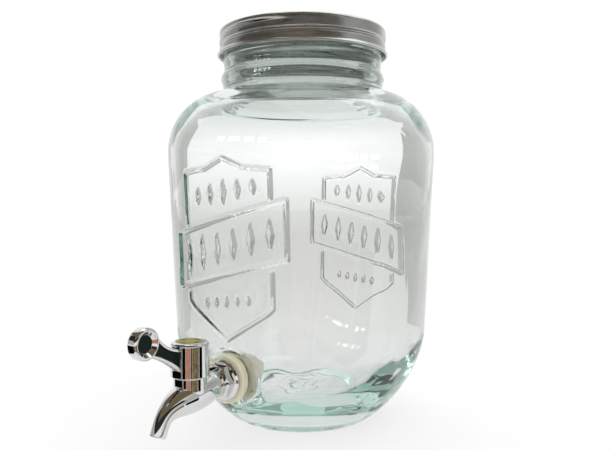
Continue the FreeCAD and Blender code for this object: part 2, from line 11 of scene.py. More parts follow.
import bmesh
import bpy
from mathutils import Matrix, Vector, noise


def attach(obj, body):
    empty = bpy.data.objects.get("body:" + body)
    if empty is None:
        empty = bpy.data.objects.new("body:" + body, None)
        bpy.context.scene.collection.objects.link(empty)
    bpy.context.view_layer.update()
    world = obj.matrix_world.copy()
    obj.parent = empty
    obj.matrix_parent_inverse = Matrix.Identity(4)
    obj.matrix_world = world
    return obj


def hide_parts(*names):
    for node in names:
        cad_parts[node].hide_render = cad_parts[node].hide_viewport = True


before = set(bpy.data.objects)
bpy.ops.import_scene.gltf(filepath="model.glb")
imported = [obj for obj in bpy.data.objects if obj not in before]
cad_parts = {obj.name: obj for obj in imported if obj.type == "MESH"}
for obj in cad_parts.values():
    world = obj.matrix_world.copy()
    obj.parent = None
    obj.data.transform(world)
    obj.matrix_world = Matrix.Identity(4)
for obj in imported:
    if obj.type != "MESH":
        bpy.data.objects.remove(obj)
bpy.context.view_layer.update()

LOG = logging.getLogger("drinks_dispenser")
FULL_TURN = 2 * math.pi
MM = 0.001
MERGE_MM = 0.0015
SAME_MM = 0.01
TINY_MM = 1e-6
# Where the tap stands, which several sub-assemblies share
TAP_LEVEL = 40.0
SEAT_Y = -77.5
GLASS_AT_TAP = 5.0
OUTER_WASHER = 5.0
BARREL_Y = -111.6
CAP_FOOT = 48.8
CAP_TOP = 68.0
# Where the threads of neck and lid begin round the jar, and how soon a thread rises from the wall
THREAD_ZERO = math.radians(214)
THREAD_FADE_TURNS = 0.12
# The values that most of a noise lies between, and how rough its finer grain is
NOISE_LOW = 0.3
NOISE_HIGH = 0.7
NOISE_ROUGHNESS = 0.55
# How much finer grain is mixed into a noise: soft ripples, fine skin and broken clouds
RIPPLE_DETAIL = 1.0
SKIN_DETAIL = 2.0
CLOUD_DETAIL = 3.0
# Sockets of a Mix node that mixes colours: its share, its two colours and what comes out
MIX_SHARE = 0
MIX_FIRST = 6
MIX_SECOND = 7
MIX_OUT = 2

Point = tuple[float, float]
Spot = tuple[float, float, float]
BMesh = bmesh.types.BMesh
BMVert = bmesh.types.BMVert
BMFace = bmesh.types.BMFace
Tree = bpy.types.NodeTree
Node = bpy.types.Node
Socket = bpy.types.NodeSocket


class Body(Enum):
    """The rigid bodies that new pieces ride, by their names in the record."""

    JAR = "jar"
    LID = "lid"
    HANDLE = "handle"


class Side(Enum):
    """Which skin of the glass a row of the jar's mesh lies on."""

    OUTER = 1
    INNER = 2


def linear(code: str) -> tuple[float, float, float, float]:
    """Turn an sRGB hex colour into linear values.

    Args:
        code: six hex digits after a hash sign.

    Returns:
        Linear red, green and blue, and an alpha of one.
    """
    shares = [int(code[i:i + 2], 16) / 255 for i in (1, 3, 5)]
    bent = [s / 12.92 if s <= 0.04045 else ((s + 0.055) / 1.055) ** 2.4 for s in shares]
    return bent[0], bent[1], bent[2], 1.0


def feed(tree: Tree, node: Node, inputs: Mapping[Any, Any]) -> None:
    """Give a node its values and links.

    Args:
        tree: the node's tree.
        node: the node that is fed.
        inputs: input name or number, to a value or to the socket that feeds it.
    """
    for name, value in inputs.items():
        if isinstance(value, Socket):
            tree.links.new(value, node.inputs[name])
        else:
            node.inputs[name].default_value = value


def add_node(tree: Tree, kind: str, settings: Mapping[str, Any], inputs: Mapping[Any, Any]) -> Node:
    """Add a node to a tree, with its settings and what feeds it.

    Args:
        tree: the tree that gets the node.
        kind: the node's type name.
        settings: attributes of the node itself.
        inputs: input name or number, to a value or to the socket that feeds it.

    Returns:
        The new node.
    """
    node = tree.nodes.new(kind)
    for name, value in settings.items():
        setattr(node, name, value)
    feed(tree, node, inputs)
    return node


def smooth_step(low: float, high: float, value: float) -> float:
    """Ease from 0 at low to 1 at high."""
    share = min(max((value - low) / (high - low), 0.0), 1.0)
    return share * share * (3 - 2 * share)


def mixed(start: float, end: float, share: float) -> float:
    """The number a share of the way from start to end."""
    return start + (end - start) * share


def bezier(controls: Sequence[Any], share: float) -> Any:
    """A point of a curve that starts at its first control and ends at its last.

    Args:
        controls: numbers or vectors.
        share: place along the curve, from 0 to 1.

    Returns:
        The number or vector there.
    """
    while len(controls) > 1:
        controls = [first + (second - first) * share for first, second in zip(controls, controls[1:])]
    return controls[0]


def rounded(corners: Sequence[Spot], segments: int = 5) -> list[Point]:
    """Round the corners of a profile.

    Args:
        corners: (across, up, radius) for each corner, in order.
        segments: steps in each rounding.

    Returns:
        The points of the rounded profile.
    """
    points: list[Point] = []
    for i, (across, up, radius) in enumerate(corners):
        here = Vector((across, up))
        if radius <= 0 or i in (0, len(corners) - 1):
            points.append((across, up))
            continue
        before = (Vector(corners[i - 1][:2]) - here).normalized()
        after = (Vector(corners[i + 1][:2]) - here).normalized()
        half = before.angle(after) / 2
        centre = here + (before + after).normalized() * (radius / math.sin(half))
        start = here + before * (radius / math.tan(half)) - centre
        end = here + after * (radius / math.tan(half)) - centre
        for step in range(segments + 1):
            spoke = start.lerp(end, step / segments).normalized() * radius
            points.append(tuple(centre + spoke))
    return points


def stretch(start: Point, end: Point, steps: int) -> list[Point]:
    """Evenly spaced points of a straight run, with both ends."""
    shares = [i / steps for i in range(steps + 1)]
    return [(mixed(start[0], end[0], share), mixed(start[1], end[1], share)) for share in shares]


def arc_points(start: Vector, end: Vector, radius: float, count: int) -> list[Vector]:
    """Points of a flat arc that bends to the left of the way from start to end.

    Args:
        start: first point, as (y, z).
        end: last point, as (y, z).
        radius: the arc's radius.
        count: how many steps.

    Returns:
        The points, with both ends.
    """
    chord = end - start
    left = Vector((-chord.y, chord.x)).normalized()
    drop = math.sqrt(radius ** 2 - (chord.length / 2) ** 2)
    centre = start + chord / 2 - left * drop
    points = []
    for step in range(count + 1):
        spoke = (start.lerp(end, step / count) - centre).normalized() * radius
        points.append(centre + spoke)
    return points


def tidy(bm: BMesh) -> None:
    """Merge doubled points and point all faces outwards."""
    bmesh.ops.remove_doubles(bm, verts=bm.verts, dist=MERGE_MM)
    bmesh.ops.recalc_face_normals(bm, faces=bm.faces)


def lathe(profile: Sequence[Point], steps: int, closed: bool = False) -> BMesh:
    """Spin a profile a full turn about the Z axis.

    Args:
        profile: (radius, level) points in order.
        steps: how many faces go round.
        closed: True for a ring whose last point joins its first.

    Returns:
        The mesh, with its poles and seam merged and its faces outwards.
    """
    bm = bmesh.new()
    verts = [bm.verts.new((radius, 0.0, level)) for radius, level in profile]
    pairs = list(zip(verts, verts[1:]))
    if closed:
        pairs.append((verts[-1], verts[0]))
    edges = [bm.edges.new(pair) for pair in pairs]
    bmesh.ops.spin(bm, geom=verts + edges, cent=(0, 0, 0), axis=(0, 0, 1), dvec=(0, 0, 0),
                   angle=FULL_TURN, steps=steps, use_merge=True, use_duplicate=False)
    tidy(bm)
    return bm


def sweep(stations: Sequence[tuple[Vector, Vector, float]], segments: int) -> BMesh:
    """Draw a round tube through stations in the plane X = 0.

    Args:
        stations: (centre, heading, radius) of each ring.
        segments: how many faces go round.

    Returns:
        The open tube.
    """
    bm = bmesh.new()
    frames = []
    across = Vector((1, 0, 0))
    for centre, heading, radius in stations:
        along = heading.normalized()
        turn = Matrix((across, along.cross(across), along)).transposed().to_4x4()
        frames.append(Matrix.Translation(centre) @ turn @ Matrix.Scale(radius, 4))
    bmesh.ops.create_circle(bm, segments=segments, radius=1.0, matrix=frames[0])
    edges = list(bm.edges)
    for last, following in zip(frames, frames[1:]):
        made = bmesh.ops.extrude_edge_only(bm, edges=edges)["geom"]
        verts = [item for item in made if isinstance(item, BMVert)]
        bmesh.ops.transform(bm, matrix=following @ last.inverted(), verts=verts)
        fresh = set(verts)
        edges = [item for item in made if isinstance(item, bmesh.types.BMEdge) and set(item.verts) <= fresh]
    tidy(bm)
    return bm


def scale_radius(vert: BMVert, share: float) -> None:
    """Bring a point to a share of its distance from the Z axis."""
    vert.co.x *= share
    vert.co.y *= share


def hex_clip(bm: BMesh, across_flats: float, low: float, high: float) -> None:
    """Cut the points of a lathe between two levels back to six flats.

    Args:
        bm: the mesh, still about the Z axis.
        across_flats: size over two opposite flats.
        low: level where the flats start.
        high: level where they end.
    """
    for vert in bm.verts:
        radius = math.hypot(vert.co.x, vert.co.y)
        angle = math.atan2(vert.co.y, vert.co.x) % (math.pi / 3) - math.pi / 6
        limit = across_flats / 2 / math.cos(angle)
        if low <= vert.co.z <= high and radius > limit:
            scale_radius(vert, limit / radius)


def on_tap_axis(bm: BMesh, y: float, outwards: bool = True) -> None:
    """Turn a mesh from the Z axis to the tap's axis.

    Args:
        bm: the mesh about Z.
        y: where its level zero goes.
        outwards: True if its +Z goes away from the jar.
    """
    turn = Matrix.Rotation(math.radians(90 if outwards else -90), 4, "X")
    place = Matrix.Translation((0, y, TAP_LEVEL))
    bmesh.ops.transform(bm, matrix=place @ turn, verts=bm.verts)


def tap_gap(point: Vector) -> float:
    """How far a point lies from the tap's axis."""
    return math.hypot(point.x, point.z - TAP_LEVEL)


def helix_gap(angle: float, level: float, start: float, pitch: float, turns: Point) -> Point:
    """How far a point lies from the nearest turn of a right-hand helix.

    Args:
        angle: the point's angle about the axis, from the helix's zero, in radians.
        level: the point's level.
        start: the helix's level at angle zero.
        pitch: climb in one turn.
        turns: first and last place along the helix, in turns.

    Returns:
        The gap along Z, and a share that fades to 0 at the helix's ends.
    """
    place = (angle % FULL_TURN) / FULL_TURN
    first, last = turns
    best = (pitch, 0.0)
    for whole in range(math.floor(first), math.ceil(last) + 1):
        turn = place + whole
        fade = smooth_step(first, first + THREAD_FADE_TURNS, turn)
        fade *= 1 - smooth_step(last - THREAD_FADE_TURNS, last, turn)
        gap = level - (start + pitch * turn)
        if fade > 0 and abs(gap) < abs(best[0]):
            best = (gap, fade)
    return best


def ridge(gap: float, half_width: float) -> float:
    """Height of a rounded bead across its width.

    Args:
        gap: distance from the bead's middle.
        half_width: half the bead's width.

    Returns:
        Its height there, as a share of its full height.
    """
    if abs(gap) >= half_width:
        return 0.0
    return 0.5 + 0.5 * math.cos(math.pi * gap / half_width)


def add_object(name: str, data: Any) -> bpy.types.Object:
    """Add an object to the scene.

    Args:
        name: the object's name.
        data: its mesh, lamp or camera.

    Returns:
        The object, at the origin.
    """
    made = bpy.data.objects.new(name, data)
    bpy.context.scene.collection.objects.link(made)
    return made


def add_mesh(bm: BMesh, name: str, *finishes: "Finish") -> bpy.types.Object:
    """Add a drawn mesh to the scene.

    Args:
        bm: the mesh in metres, which is freed.
        name: name of the object and its mesh.
        finishes: its surfaces, by material number.

    Returns:
        The object, at the origin.
    """
    mesh = bpy.data.meshes.new(name)
    bm.to_mesh(mesh)
    bm.free()
    for finish in finishes:
        mesh.materials.append(finish.material())
    return add_object(name, mesh)


def piece(bm: BMesh, name: str, finish: "Finish", body: Body,
          replaces: Sequence[str] = (), sharp_deg: float = 35.0,
          painted_light_finish: "Finish | None" = None) -> bpy.types.Object:
    """Make a finished object from a mesh drawn in millimetres.

    Args:
        bm: the mesh, which is freed.
        name: name of the piece.
        finish: its surface.
        body: the body that it moves with.
        replaces: CAD nodes that it stands for.
        sharp_deg: edges that bend more than this stay crisp.
        painted_light_finish: surface of the faces that carry material number 1, where a painted light or a
            painted reflection goes.

    Returns:
        The object, in metres, at the origin.
    """
    bmesh.ops.scale(bm, vec=(MM, MM, MM), verts=bm.verts)
    made = add_mesh(bm, name, *filter(None, (finish, painted_light_finish)))
    made.data.shade_smooth()
    made.data.set_sharp_from_angle(angle=math.radians(sharp_deg))
    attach(made, body.value)
    if replaces:
        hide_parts(*replaces)
    LOG.info("%s: %d faces on %s", name, len(made.data.polygons), body.value)
    return made


def dress_node(name: str, finish: "Finish") -> None:
    """Give a CAD node a finish in place of its plain one.

    Args:
        name: the node's name.
        finish: its surface.
    """
    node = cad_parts[name]
    node.data.materials.clear()
    node.data.materials.append(finish.material())
    LOG.info("%s: CAD node dressed in %s", name, finish.name)


@dataclass(frozen=True)
class Wiring:
    """A material under construction: its tree, the piece's own coordinates, its shader and its output."""

    tree: Tree
    where: Socket
    shader: Node
    output: Node

    def shade(self, inputs: Mapping[str, Any]) -> None:
        """Give the shader its values and links."""
        feed(self.tree, self.shader, inputs)

    def blotches(self, size_mm: float, detail: float) -> dict[str, Any]:
        """What a noise is fed for soft blotches of a real width, with finer grain mixed in."""
        return {"Vector": self.where, "Scale": 1 / (size_mm * MM), "Detail": detail,
                "Roughness": NOISE_ROUGHNESS}


@dataclass(frozen=True)
class Finish:
    """A surface: what it is made of and how it was made, with its grain drawn coarse enough to show."""

    name: str
    colour: str
    roughness: float
    grain_mm: float
    grain_depth_mm: float = 0.02
    bump: float = 0.2

    def material(self) -> bpy.types.Material:
        """The Blender material, made once.

        Returns:
            The material, wired.
        """
        made = bpy.data.materials.get(self.name)
        if made is None:
            made = bpy.data.materials.new(self.name)
            made.use_nodes = True
            tree = made.node_tree
            tree.nodes.clear()
            where = add_node(tree, "ShaderNodeTexCoord", {}, {}).outputs["Object"]
            shader = add_node(tree, "ShaderNodeBsdfPrincipled", {}, {})
            output = add_node(tree, "ShaderNodeOutputMaterial", {}, {"Surface": shader.outputs[0]})
            self.dress(Wiring(tree, where, shader, output))
        return made

    def wander(self, wiring: Wiring, size_mm: float, detail: float, low: float, high: float) -> Socket:
        """Values that wander between two limits in soft blotches.

        Args:
            wiring: the material under construction.
            size_mm: width of a blotch.
            detail: how much finer grain is mixed in.
            low: least value.
            high: greatest value.

        Returns:
            The values.
        """
        cloud = add_node(wiring.tree, "ShaderNodeTexNoise", {}, wiring.blotches(size_mm, detail)).outputs[0]
        limits = {"Value": cloud, "From Min": NOISE_LOW, "From Max": NOISE_HIGH,
                  "To Min": low, "To Max": high}
        return add_node(wiring.tree, "ShaderNodeMapRange", {}, limits).outputs[0]

    def mottled(self, wiring: Wiring, size_mm: float, detail: float, other: str) -> Socket:
        """The finish's colour, drifting to another in soft blotches.

        Args:
            wiring: the material under construction.
            size_mm: width of a blotch.
            detail: how much finer grain is mixed in.
            other: the second colour.

        Returns:
            The colour.
        """
        share = self.wander(wiring, size_mm, detail, 0.0, 1.0)
        mix = {MIX_SHARE: share, MIX_FIRST: linear(self.colour), MIX_SECOND: linear(other)}
        return add_node(wiring.tree, "ShaderNodeMix", {"data_type": "RGBA"}, mix).outputs[MIX_OUT]

    def grained(self, wiring: Wiring, detail: float) -> Socket:
        """A surface normal roughened by the finish's grain.

        Args:
            wiring: the material under construction.
            detail: how much finer grain is mixed in.

        Returns:
            The normal.
        """
        grain = add_node(wiring.tree, "ShaderNodeTexNoise", {}, wiring.blotches(self.grain_mm, detail))
        relief = {"Height": grain.outputs[0], "Strength": self.bump, "Distance": self.grain_depth_mm * MM}
        return add_node(wiring.tree, "ShaderNodeBump", {}, relief).outputs[0]

    def dress(self, wiring: Wiring) -> None:
        """Wire the surface into its shader."""
        raise NotImplementedError


@dataclass(frozen=True, kw_only=True)
class PressedGlass(Finish):
    """Soda-lime glass pressed in an iron mould: clear, faintly teal where it is thick, gently rippled.

    Its colour is what the glass takes on with depth; its skin is greyed by height, a painted shade that
    darkens the body and the neck and leaves the shoulder white.
    """

    painted_shade_stops: tuple[tuple[float, str], ...]
    top_mm: float = 260.0
    density: float = 6.8
    ior: float = 1.52
    bump: float = 0.35

    def dress(self, wiring: Wiring) -> None:
        """Wire clear glass whose colour grows with depth, with a painted shade that greys its skin from foot
        to neck.

        Args:
            wiring: the material under construction.
        """
        tree = wiring.tree
        level = add_node(tree, "ShaderNodeSeparateXYZ", {}, {0: wiring.where}).outputs[2]
        scaled = {"Value": level, "From Min": 0.0, "From Max": self.top_mm * MM}
        share = add_node(tree, "ShaderNodeMapRange", {}, scaled).outputs[0]
        ramp = add_node(tree, "ShaderNodeValToRGB", {}, {0: share})
        stops = ramp.color_ramp.elements
        ready = len(stops)
        # Each stop greys the glass's skin at its height: painted shade
        for i, (height, painted_grey) in enumerate(self.painted_shade_stops):
            stop = stops[i] if i < ready else stops.new(1.0)
            stop.position = height / self.top_mm
            stop.color = linear(painted_grey)
        wiring.shade({"Base Color": ramp.outputs[0], "Roughness": self.roughness, "IOR": self.ior,
                      "Transmission Weight": 1.0, "Normal": self.grained(wiring, RIPPLE_DETAIL)})
        volume = {"Color": linear(self.colour), "Density": self.density}
        depth = add_node(tree, "ShaderNodeVolumeAbsorption", {}, volume)
        feed(tree, wiring.output, {"Volume": depth.outputs[0]})


@dataclass(frozen=True, kw_only=True)
class Metal(Finish):
    """A bare or plated metal: mirror colour, with a roughness that drifts and fine handling marks."""

    worn: str
    gloss_drift: float = 0.04
    blotch_mm: float = 14.0
    least_roughness: float = 0.01
    bump: float = 0.15

    def dress(self, wiring: Wiring) -> None:
        """Wire a metal whose gloss varies a little from place to place.

        Args:
            wiring: the material under construction.
        """
        low = max(self.roughness - self.gloss_drift, self.least_roughness)
        high = self.roughness + self.gloss_drift
        wiring.shade({"Metallic": 1.0,
                      "Base Color": self.mottled(wiring, self.blotch_mm, CLOUD_DETAIL, self.worn),
                      "Roughness": self.wander(wiring, self.blotch_mm, CLOUD_DETAIL, low, high),
                      "Normal": self.grained(wiring, SKIN_DETAIL)})


@dataclass(frozen=True, kw_only=True)
class Moulded(Finish):
    """A moulded rubber or plastic: soft sheen, a little light carried inside, faint flow marks."""

    flow_mark: str
    flow_grains: float = 12.0
    gloss_drift: float = 0.06
    subsurface: float = 0.0
    reach_mm: float = 2.0
    reach_by_colour: Spot = (1.0, 0.8, 0.5)
    shine: float = 0.5

    def dress(self, wiring: Wiring) -> None:
        """Wire a moulded surface with flow marks and a fine skin.

        Args:
            wiring: the material under construction.
        """
        low, high = self.roughness - self.gloss_drift, self.roughness + self.gloss_drift
        flow_mm = self.grain_mm * self.flow_grains
        wiring.shade({"Base Color": self.mottled(wiring, flow_mm, SKIN_DETAIL, self.flow_mark),
                      "Roughness": self.wander(wiring, self.grain_mm, SKIN_DETAIL, low, high),
                      "Specular IOR Level": self.shine, "Subsurface Weight": self.subsurface,
                      "Subsurface Radius": self.reach_by_colour, "Subsurface Scale": self.reach_mm * MM,
                      "Normal": self.grained(wiring, SKIN_DETAIL)})


@dataclass(frozen=True, kw_only=True)
class PrintedDisc(Finish):
    """A lacquered disc printed with plain tick marks in a ring, with a gloss that drifts a little."""

    ink: str
    centre_mm: Spot
    ring_mm: Point = (4.7, 6.6)
    ticks: int = 4
    tick_edge: float = 0.1
    gloss_drift: float = 0.1
    shine: float = 0.15

    def dress(self, wiring: Wiring) -> None:
        """Wire the ring of ticks on the disc's own colour.

        Args:
            wiring: the material under construction.
        """
        tree = wiring.tree
        shift = tuple(-value * MM for value in self.centre_mm)
        moved = {"Vector": wiring.where, "Location": shift}
        centred = replace(wiring, where=add_node(tree, "ShaderNodeMapping", {}, moved).outputs[0])
        split = add_node(tree, "ShaderNodeSeparateXYZ", {}, {0: centred.where})
        across, along = split.outputs[0], split.outputs[1]
        tick = along
        for operation, other in (("ARCTAN2", across), ("MULTIPLY", float(self.ticks)), ("COSINE", 0.0),
                                 ("GREATER_THAN", self.tick_edge)):
            tick = add_node(tree, "ShaderNodeMath", {"operation": operation}, {0: tick, 1: other}).outputs[0]
        flat = add_node(tree, "ShaderNodeCombineXYZ", {}, {0: across, 1: along}).outputs[0]
        reach = add_node(tree, "ShaderNodeVectorMath", {"operation": "LENGTH"}, {0: flat}).outputs["Value"]
        middle = sum(self.ring_mm) / 2 * MM
        half = (self.ring_mm[1] - self.ring_mm[0]) / 2 * MM
        near = {0: reach, 1: middle, 2: half}
        ring = add_node(tree, "ShaderNodeMath", {"operation": "COMPARE"}, near).outputs[0]
        mark = add_node(tree, "ShaderNodeMath", {"operation": "MULTIPLY"}, {0: ring, 1: tick}).outputs[0]
        mix = {MIX_SHARE: mark, MIX_FIRST: linear(self.colour), MIX_SECOND: linear(self.ink)}
        colour = add_node(tree, "ShaderNodeMix", {"data_type": "RGBA"}, mix).outputs[MIX_OUT]
        high = self.roughness + self.gloss_drift
        gloss = self.wander(centred, self.grain_mm, SKIN_DETAIL, self.roughness, high)
        wiring.shade({"Base Color": colour, "Specular IOR Level": self.shine, "Roughness": gloss})


@dataclass(frozen=True, kw_only=True)
class StageSheet(Finish):
    """A plain sheet of the set, felt, board or opal acrylic: matte, faintly mottled, glowing or not."""

    mottle: str
    glow: float = 0.0

    def dress(self, wiring: Wiring) -> None:
        """Wire a matte sheet with no gloss.

        Args:
            wiring: the material under construction.
        """
        wiring.shade({"Base Color": self.mottled(wiring, self.grain_mm, SKIN_DETAIL, self.mottle),
                      "Roughness": self.roughness, "Specular IOR Level": 0.0,
                      "Emission Color": linear("#FFFFFF"), "Emission Strength": self.glow})


# Clear glass with a faint water-green body, seen mostly at edges, heel and ornament; its skin is greyed by
# height, a painted shade that leaves only the shoulder white
JAR_GLASS = PressedGlass("soda_lime_glass_pressed", "#79C7B2", 0.0, 22.0, 0.25,
                         painted_shade_stops=((40.0, "#F6F6F6"), (85.0, "#ECECEB"), (130.0, "#EAEAE9"), (172.0, "#FFFFFF"),
                                (200.0, "#FFFFFF"), (224.0, "#D6DAD8")))
# Tinplate rolled to a satin: a soft grey sheen in cloudy patches rather than clear reflections
LID_TINPLATE = Metal("tinplate_rolled_satin", "#BDBDBA", 0.24, 0.8, 0.01, worn="#A9A9A6", gloss_drift=0.05)
# Tinplate of the lid's inside, coloured brighter than the band: painted light that lifts the shaded inside
# seen through the neck
LID_INSIDE_PAINTED_LIGHT = Metal("tinplate_inside_painted_light", "#F4F4F2", 0.3, 0.8, 0.01, worn="#E8E8E6", gloss_drift=0.05)
# Bright chrome over a smooth casting: near mirror, with slight haze
TAP_CHROME = Metal("chrome_plate_polished", "#DCDDDE", 0.04, 6.0, 0.0, worn="#D6D6D5", gloss_drift=0.015)
# Silicone pressed from cream stock: matte, with a little light carried in at its edges
WASHER_SILICONE = Moulded("silicone_moulded_cream", "#D8D4BC", 0.5, 0.5, flow_mark="#CFCAB0", subsurface=0.35)
# Natural polypropylene of the nut and the shank: waxy and paler than the washers
NUT_PLASTIC = Moulded("polypropylene_moulded_natural", "#EAE8DA", 0.4, 0.6, flow_mark="#E1DECD",
                      subsurface=0.5, reach_mm=4.0)
# Acetal plug: hard, white and slick
PLUG_PLASTIC = Moulded("acetal_moulded_white", "#E6E5DF", 0.3, 0.6, 0.01, flow_mark="#DCDAD2")
# Nitrile rings: black and slightly greased
RING_RUBBER = Moulded("nitrile_rubber_black", "#1B1B1C", 0.35, 0.4, 0.01, flow_mark="#232324")
# Green-black in the handle's recesses, with little shine: a painted dark reflection standing in for the dark
# room the chrome would mirror there
RECESS_PAINTED_REFLECTION = Moulded("recess_painted_dark_reflection", "#0E1B15", 0.3, 0.7, 0.004, flow_mark="#14241C",
                        shine=0.08)
# Foamed liner: soft, off-white and dull
LINER_RUBBER = Moulded("foamed_liner_offwhite", "#E2DFD5", 0.7, 0.6, 0.05, flow_mark="#D6D2C6")
# Zinc-bright steel of the hidden ring and screw: a plain grey shine
FASTENER_STEEL = Metal("bright_steel_turned", "#B9BABD", 0.25, 0.6, 0.01, worn="#A5A6A9")
# Screen-printed yellow lacquer: a muted shine, with the ticks in near black
BADGE_LACQUER = PrintedDisc("lacquered_disc_yellow", "#938E36", 0.3, 0.8, ink="#20241C",
                            centre_mm=(0.0, BARREL_Y, 0.0))
# Opal acrylic lit from below: an even white with little shadow
TABLE_ACRYLIC = StageSheet("opal_acrylic_cast", "#979796", 0.9, 60.0, mottle="#949493", glow=0.64)
# Black felt: the deepest reflections in the chrome
FELT_BLACK = StageSheet("felt_dyed_black", "#050504", 0.9, 40.0, mottle="#0D0A08")
# Brown felt: the warm half tones of the spout
FELT_BROWN = StageSheet("felt_dyed_brown", "#8A7A5E", 0.9, 40.0, mottle="#5C4F39")
# Rose felt: one warm streak on the cap
FELT_ROSE = StageSheet("felt_dyed_rose", "#C08A74", 0.9, 40.0, mottle="#A5745F")
# Grey felt: the soft darks of the lid
FELT_GREY = StageSheet("felt_dyed_grey", "#2A2A29", 0.9, 40.0, mottle="#353433")
# Taupe felt: the half tones of the lid
FELT_TAUPE = StageSheet("felt_dyed_taupe", "#82796A", 0.9, 40.0, mottle="#57503F")
# Pale grey board: the half tones that outline clear glass
CARD_GREY = StageSheet("card_board_grey", "#BABAB8", 0.9, 40.0, mottle="#B5B5B3")


@dataclass(frozen=True)
class LozengeRow:
    """A row of plain diamonds on the glass: how many, their pitch, level and slope, and their size."""

    count: int
    pitch: float
    level: float
    slope: float
    half_width: float
    half_height: float
    taper: float = 0.0

    def stones(self) -> Iterator[tuple[float, float, float, float]]:
        """Work out the row, with its diamonds shorter by the taper at each step from the middle.

        Returns:
            (across, level, half width, half height) of each diamond.
        """
        for i in range(self.count):
            step = i - (self.count - 1) / 2
            tall = self.half_height - self.taper * abs(step)
            yield step * self.pitch, self.level + self.slope * step * self.pitch, self.half_width, tall


@dataclass
class Ornament:
    """Plain label frame raised on two faces of the jar: a shield with a slanting ribbon, and lozenges."""

    reach: float = 52.0
    half_width: float = 32.0
    peak: float = 171.0
    top_corner: float = 163.5
    dip_rise: float = 1.5
    dip_share: float = 0.45
    low_corner: float = 80.0
    low_bend: float = 4.0
    low_share: float = 0.86
    point: float = 63.0
    ribbon_half: float = 41.0
    ribbon_top: float = 136.0
    ribbon_low: float = 102.0
    ribbon_slope: float = 0.25
    gap_over_ribbon: float = 3.0
    gap_under_ribbon: float = 5.0
    bead_half: float = 1.85
    bead_height: float = 1.5
    lozenge_height: float = 1.5
    lozenge_flat: float = 0.5
    ribbon_lozenges: int = 6
    ribbon_margin: float = 0.6
    ribbon_lozenge: Point = (2.9, 12.5)
    top_row: LozengeRow = LozengeRow(count=5, pitch=10.5, level=151.0, slope=0.12, half_width=2.5,
                                     half_height=8.5, taper=1.0)
    low_row: LozengeRow = LozengeRow(count=5, pitch=8.0, level=86.0, slope=0.12, half_width=2.0,
                                     half_height=4.5)
    dish_depth: float = 1.6
    dish_flat: float = 24.0
    dish_edge: float = 46.0
    dish_over_peak: Point = (-2.0, 36.0)
    dish_under_point: Point = (-44.0, 2.0)

    def __post_init__(self) -> None:
        """Work out the strokes and the lozenges once."""
        self.drawn = self.strokes()
        self.stones = [stone for row in self.rows() for stone in row.stones()]

    def ribbon(self, across: float, base: float) -> float:
        """Level of a ribbon edge at a place across the face."""
        return base + self.ribbon_slope * across

    def strokes(self) -> list[tuple[Point, Point]]:
        """Work out the straight strokes of the frame.

        Returns:
            Pairs of (across, level) points.
        """
        wide, rib = self.half_width, self.ribbon_half
        dip, dip_level = wide * self.dip_share, self.top_corner + self.dip_rise
        bend, bend_level = wide * self.low_share, self.low_corner + self.low_bend
        crown = [(-wide, self.ribbon(-wide, self.ribbon_top) + self.gap_over_ribbon),
                 (-wide, self.top_corner), (-dip, dip_level), (0.0, self.peak), (dip, dip_level),
                 (wide, self.top_corner), (wide, self.ribbon(wide, self.ribbon_top) + self.gap_over_ribbon)]
        band = [(side, self.ribbon(side, base)) for side, base in (
            (-rib, self.ribbon_low), (-rib, self.ribbon_top), (rib, self.ribbon_top), (rib, self.ribbon_low),
            (-rib, self.ribbon_low))]
        foot = [(-wide, self.ribbon(-wide, self.ribbon_low) - self.gap_under_ribbon), (-wide, bend_level),
                (-bend, self.low_corner), (0.0, self.point), (bend, self.low_corner), (wide, bend_level),
                (wide, self.ribbon(wide, self.ribbon_low) - self.gap_under_ribbon)]
        return [pair for chain in (crown, band, foot) for pair in zip(chain, chain[1:])]

    def rows(self) -> tuple[LozengeRow, LozengeRow, LozengeRow]:
        """Work out the rows of lozenges.

        Returns:
            The rows on the ribbon, above it and below it.
        """
        pitch = 2 * self.ribbon_half / (self.ribbon_lozenges + self.ribbon_margin)
        middle = (self.ribbon_top + self.ribbon_low) / 2
        on_ribbon = LozengeRow(self.ribbon_lozenges, pitch, middle, self.ribbon_slope,
                               *self.ribbon_lozenge)
        return on_ribbon, self.top_row, self.low_row

    def height(self, across: float, level: float) -> float:
        """How far the ornament stands off the face of the jar.

        Args:
            across: place across the face, from its middle.
            level: place up the face.

        Returns:
            Its height there.
        """
        raised = 0.0
        near = self.bead_half
        for (x0, z0), (x1, z1) in self.drawn:
            if not (min(x0, x1) - near < across < max(x0, x1) + near
                    and min(z0, z1) - near < level < max(z0, z1) + near):
                continue
            run, rise = x1 - x0, z1 - z0
            share = ((across - x0) * run + (level - z0) * rise) / (run * run + rise * rise)
            share = min(max(share, 0.0), 1.0)
            gap = math.hypot(across - x0 - run * share, level - z0 - rise * share)
            raised = max(raised, self.bead_height * ridge(gap, self.bead_half))
        for middle, up, wide, tall in self.stones:
            out = abs(across - middle) / wide + abs(level - up) / tall
            if out < 1.0:
                raised = max(raised, self.lozenge_height * (1 - smooth_step(self.lozenge_flat, 1.0, out)))
        return raised

    def sunk(self, across: float, level: float) -> float:
        """How far the back face is dished, so that its ornament stays within the jar's depth.

        Args:
            across: place across the face, from its middle.
            level: place up the face.

        Returns:
            The depth there.
        """
        sideways = ridge(max(abs(across) - self.dish_flat, 0.0), self.dish_edge)
        top, low = self.dish_over_peak, self.dish_under_point
        upwards = 1 - smooth_step(self.peak + top[0], self.peak + top[1], level)
        downwards = smooth_step(self.point + low[0], self.point + low[1], level)
        return self.dish_depth * sideways * upwards * downwards


@dataclass(frozen=True)
class Ripple:
    """Waves in pressed glass: their width and height, and the noise layer that draws them."""

    width: float
    height: float
    layer: float

    def at(self, along: float, level: float) -> float:
        """How far the waves stand out at a place round the jar, from -1 to 1."""
        return noise.noise(Vector((along / self.width, level / self.height, self.layer)))


@dataclass
class JarRow:
    """One level of the jar's mesh: reach to its corners, level, corner offset and skin."""

    reach: float
    level: float
    offset: float
    side: Side


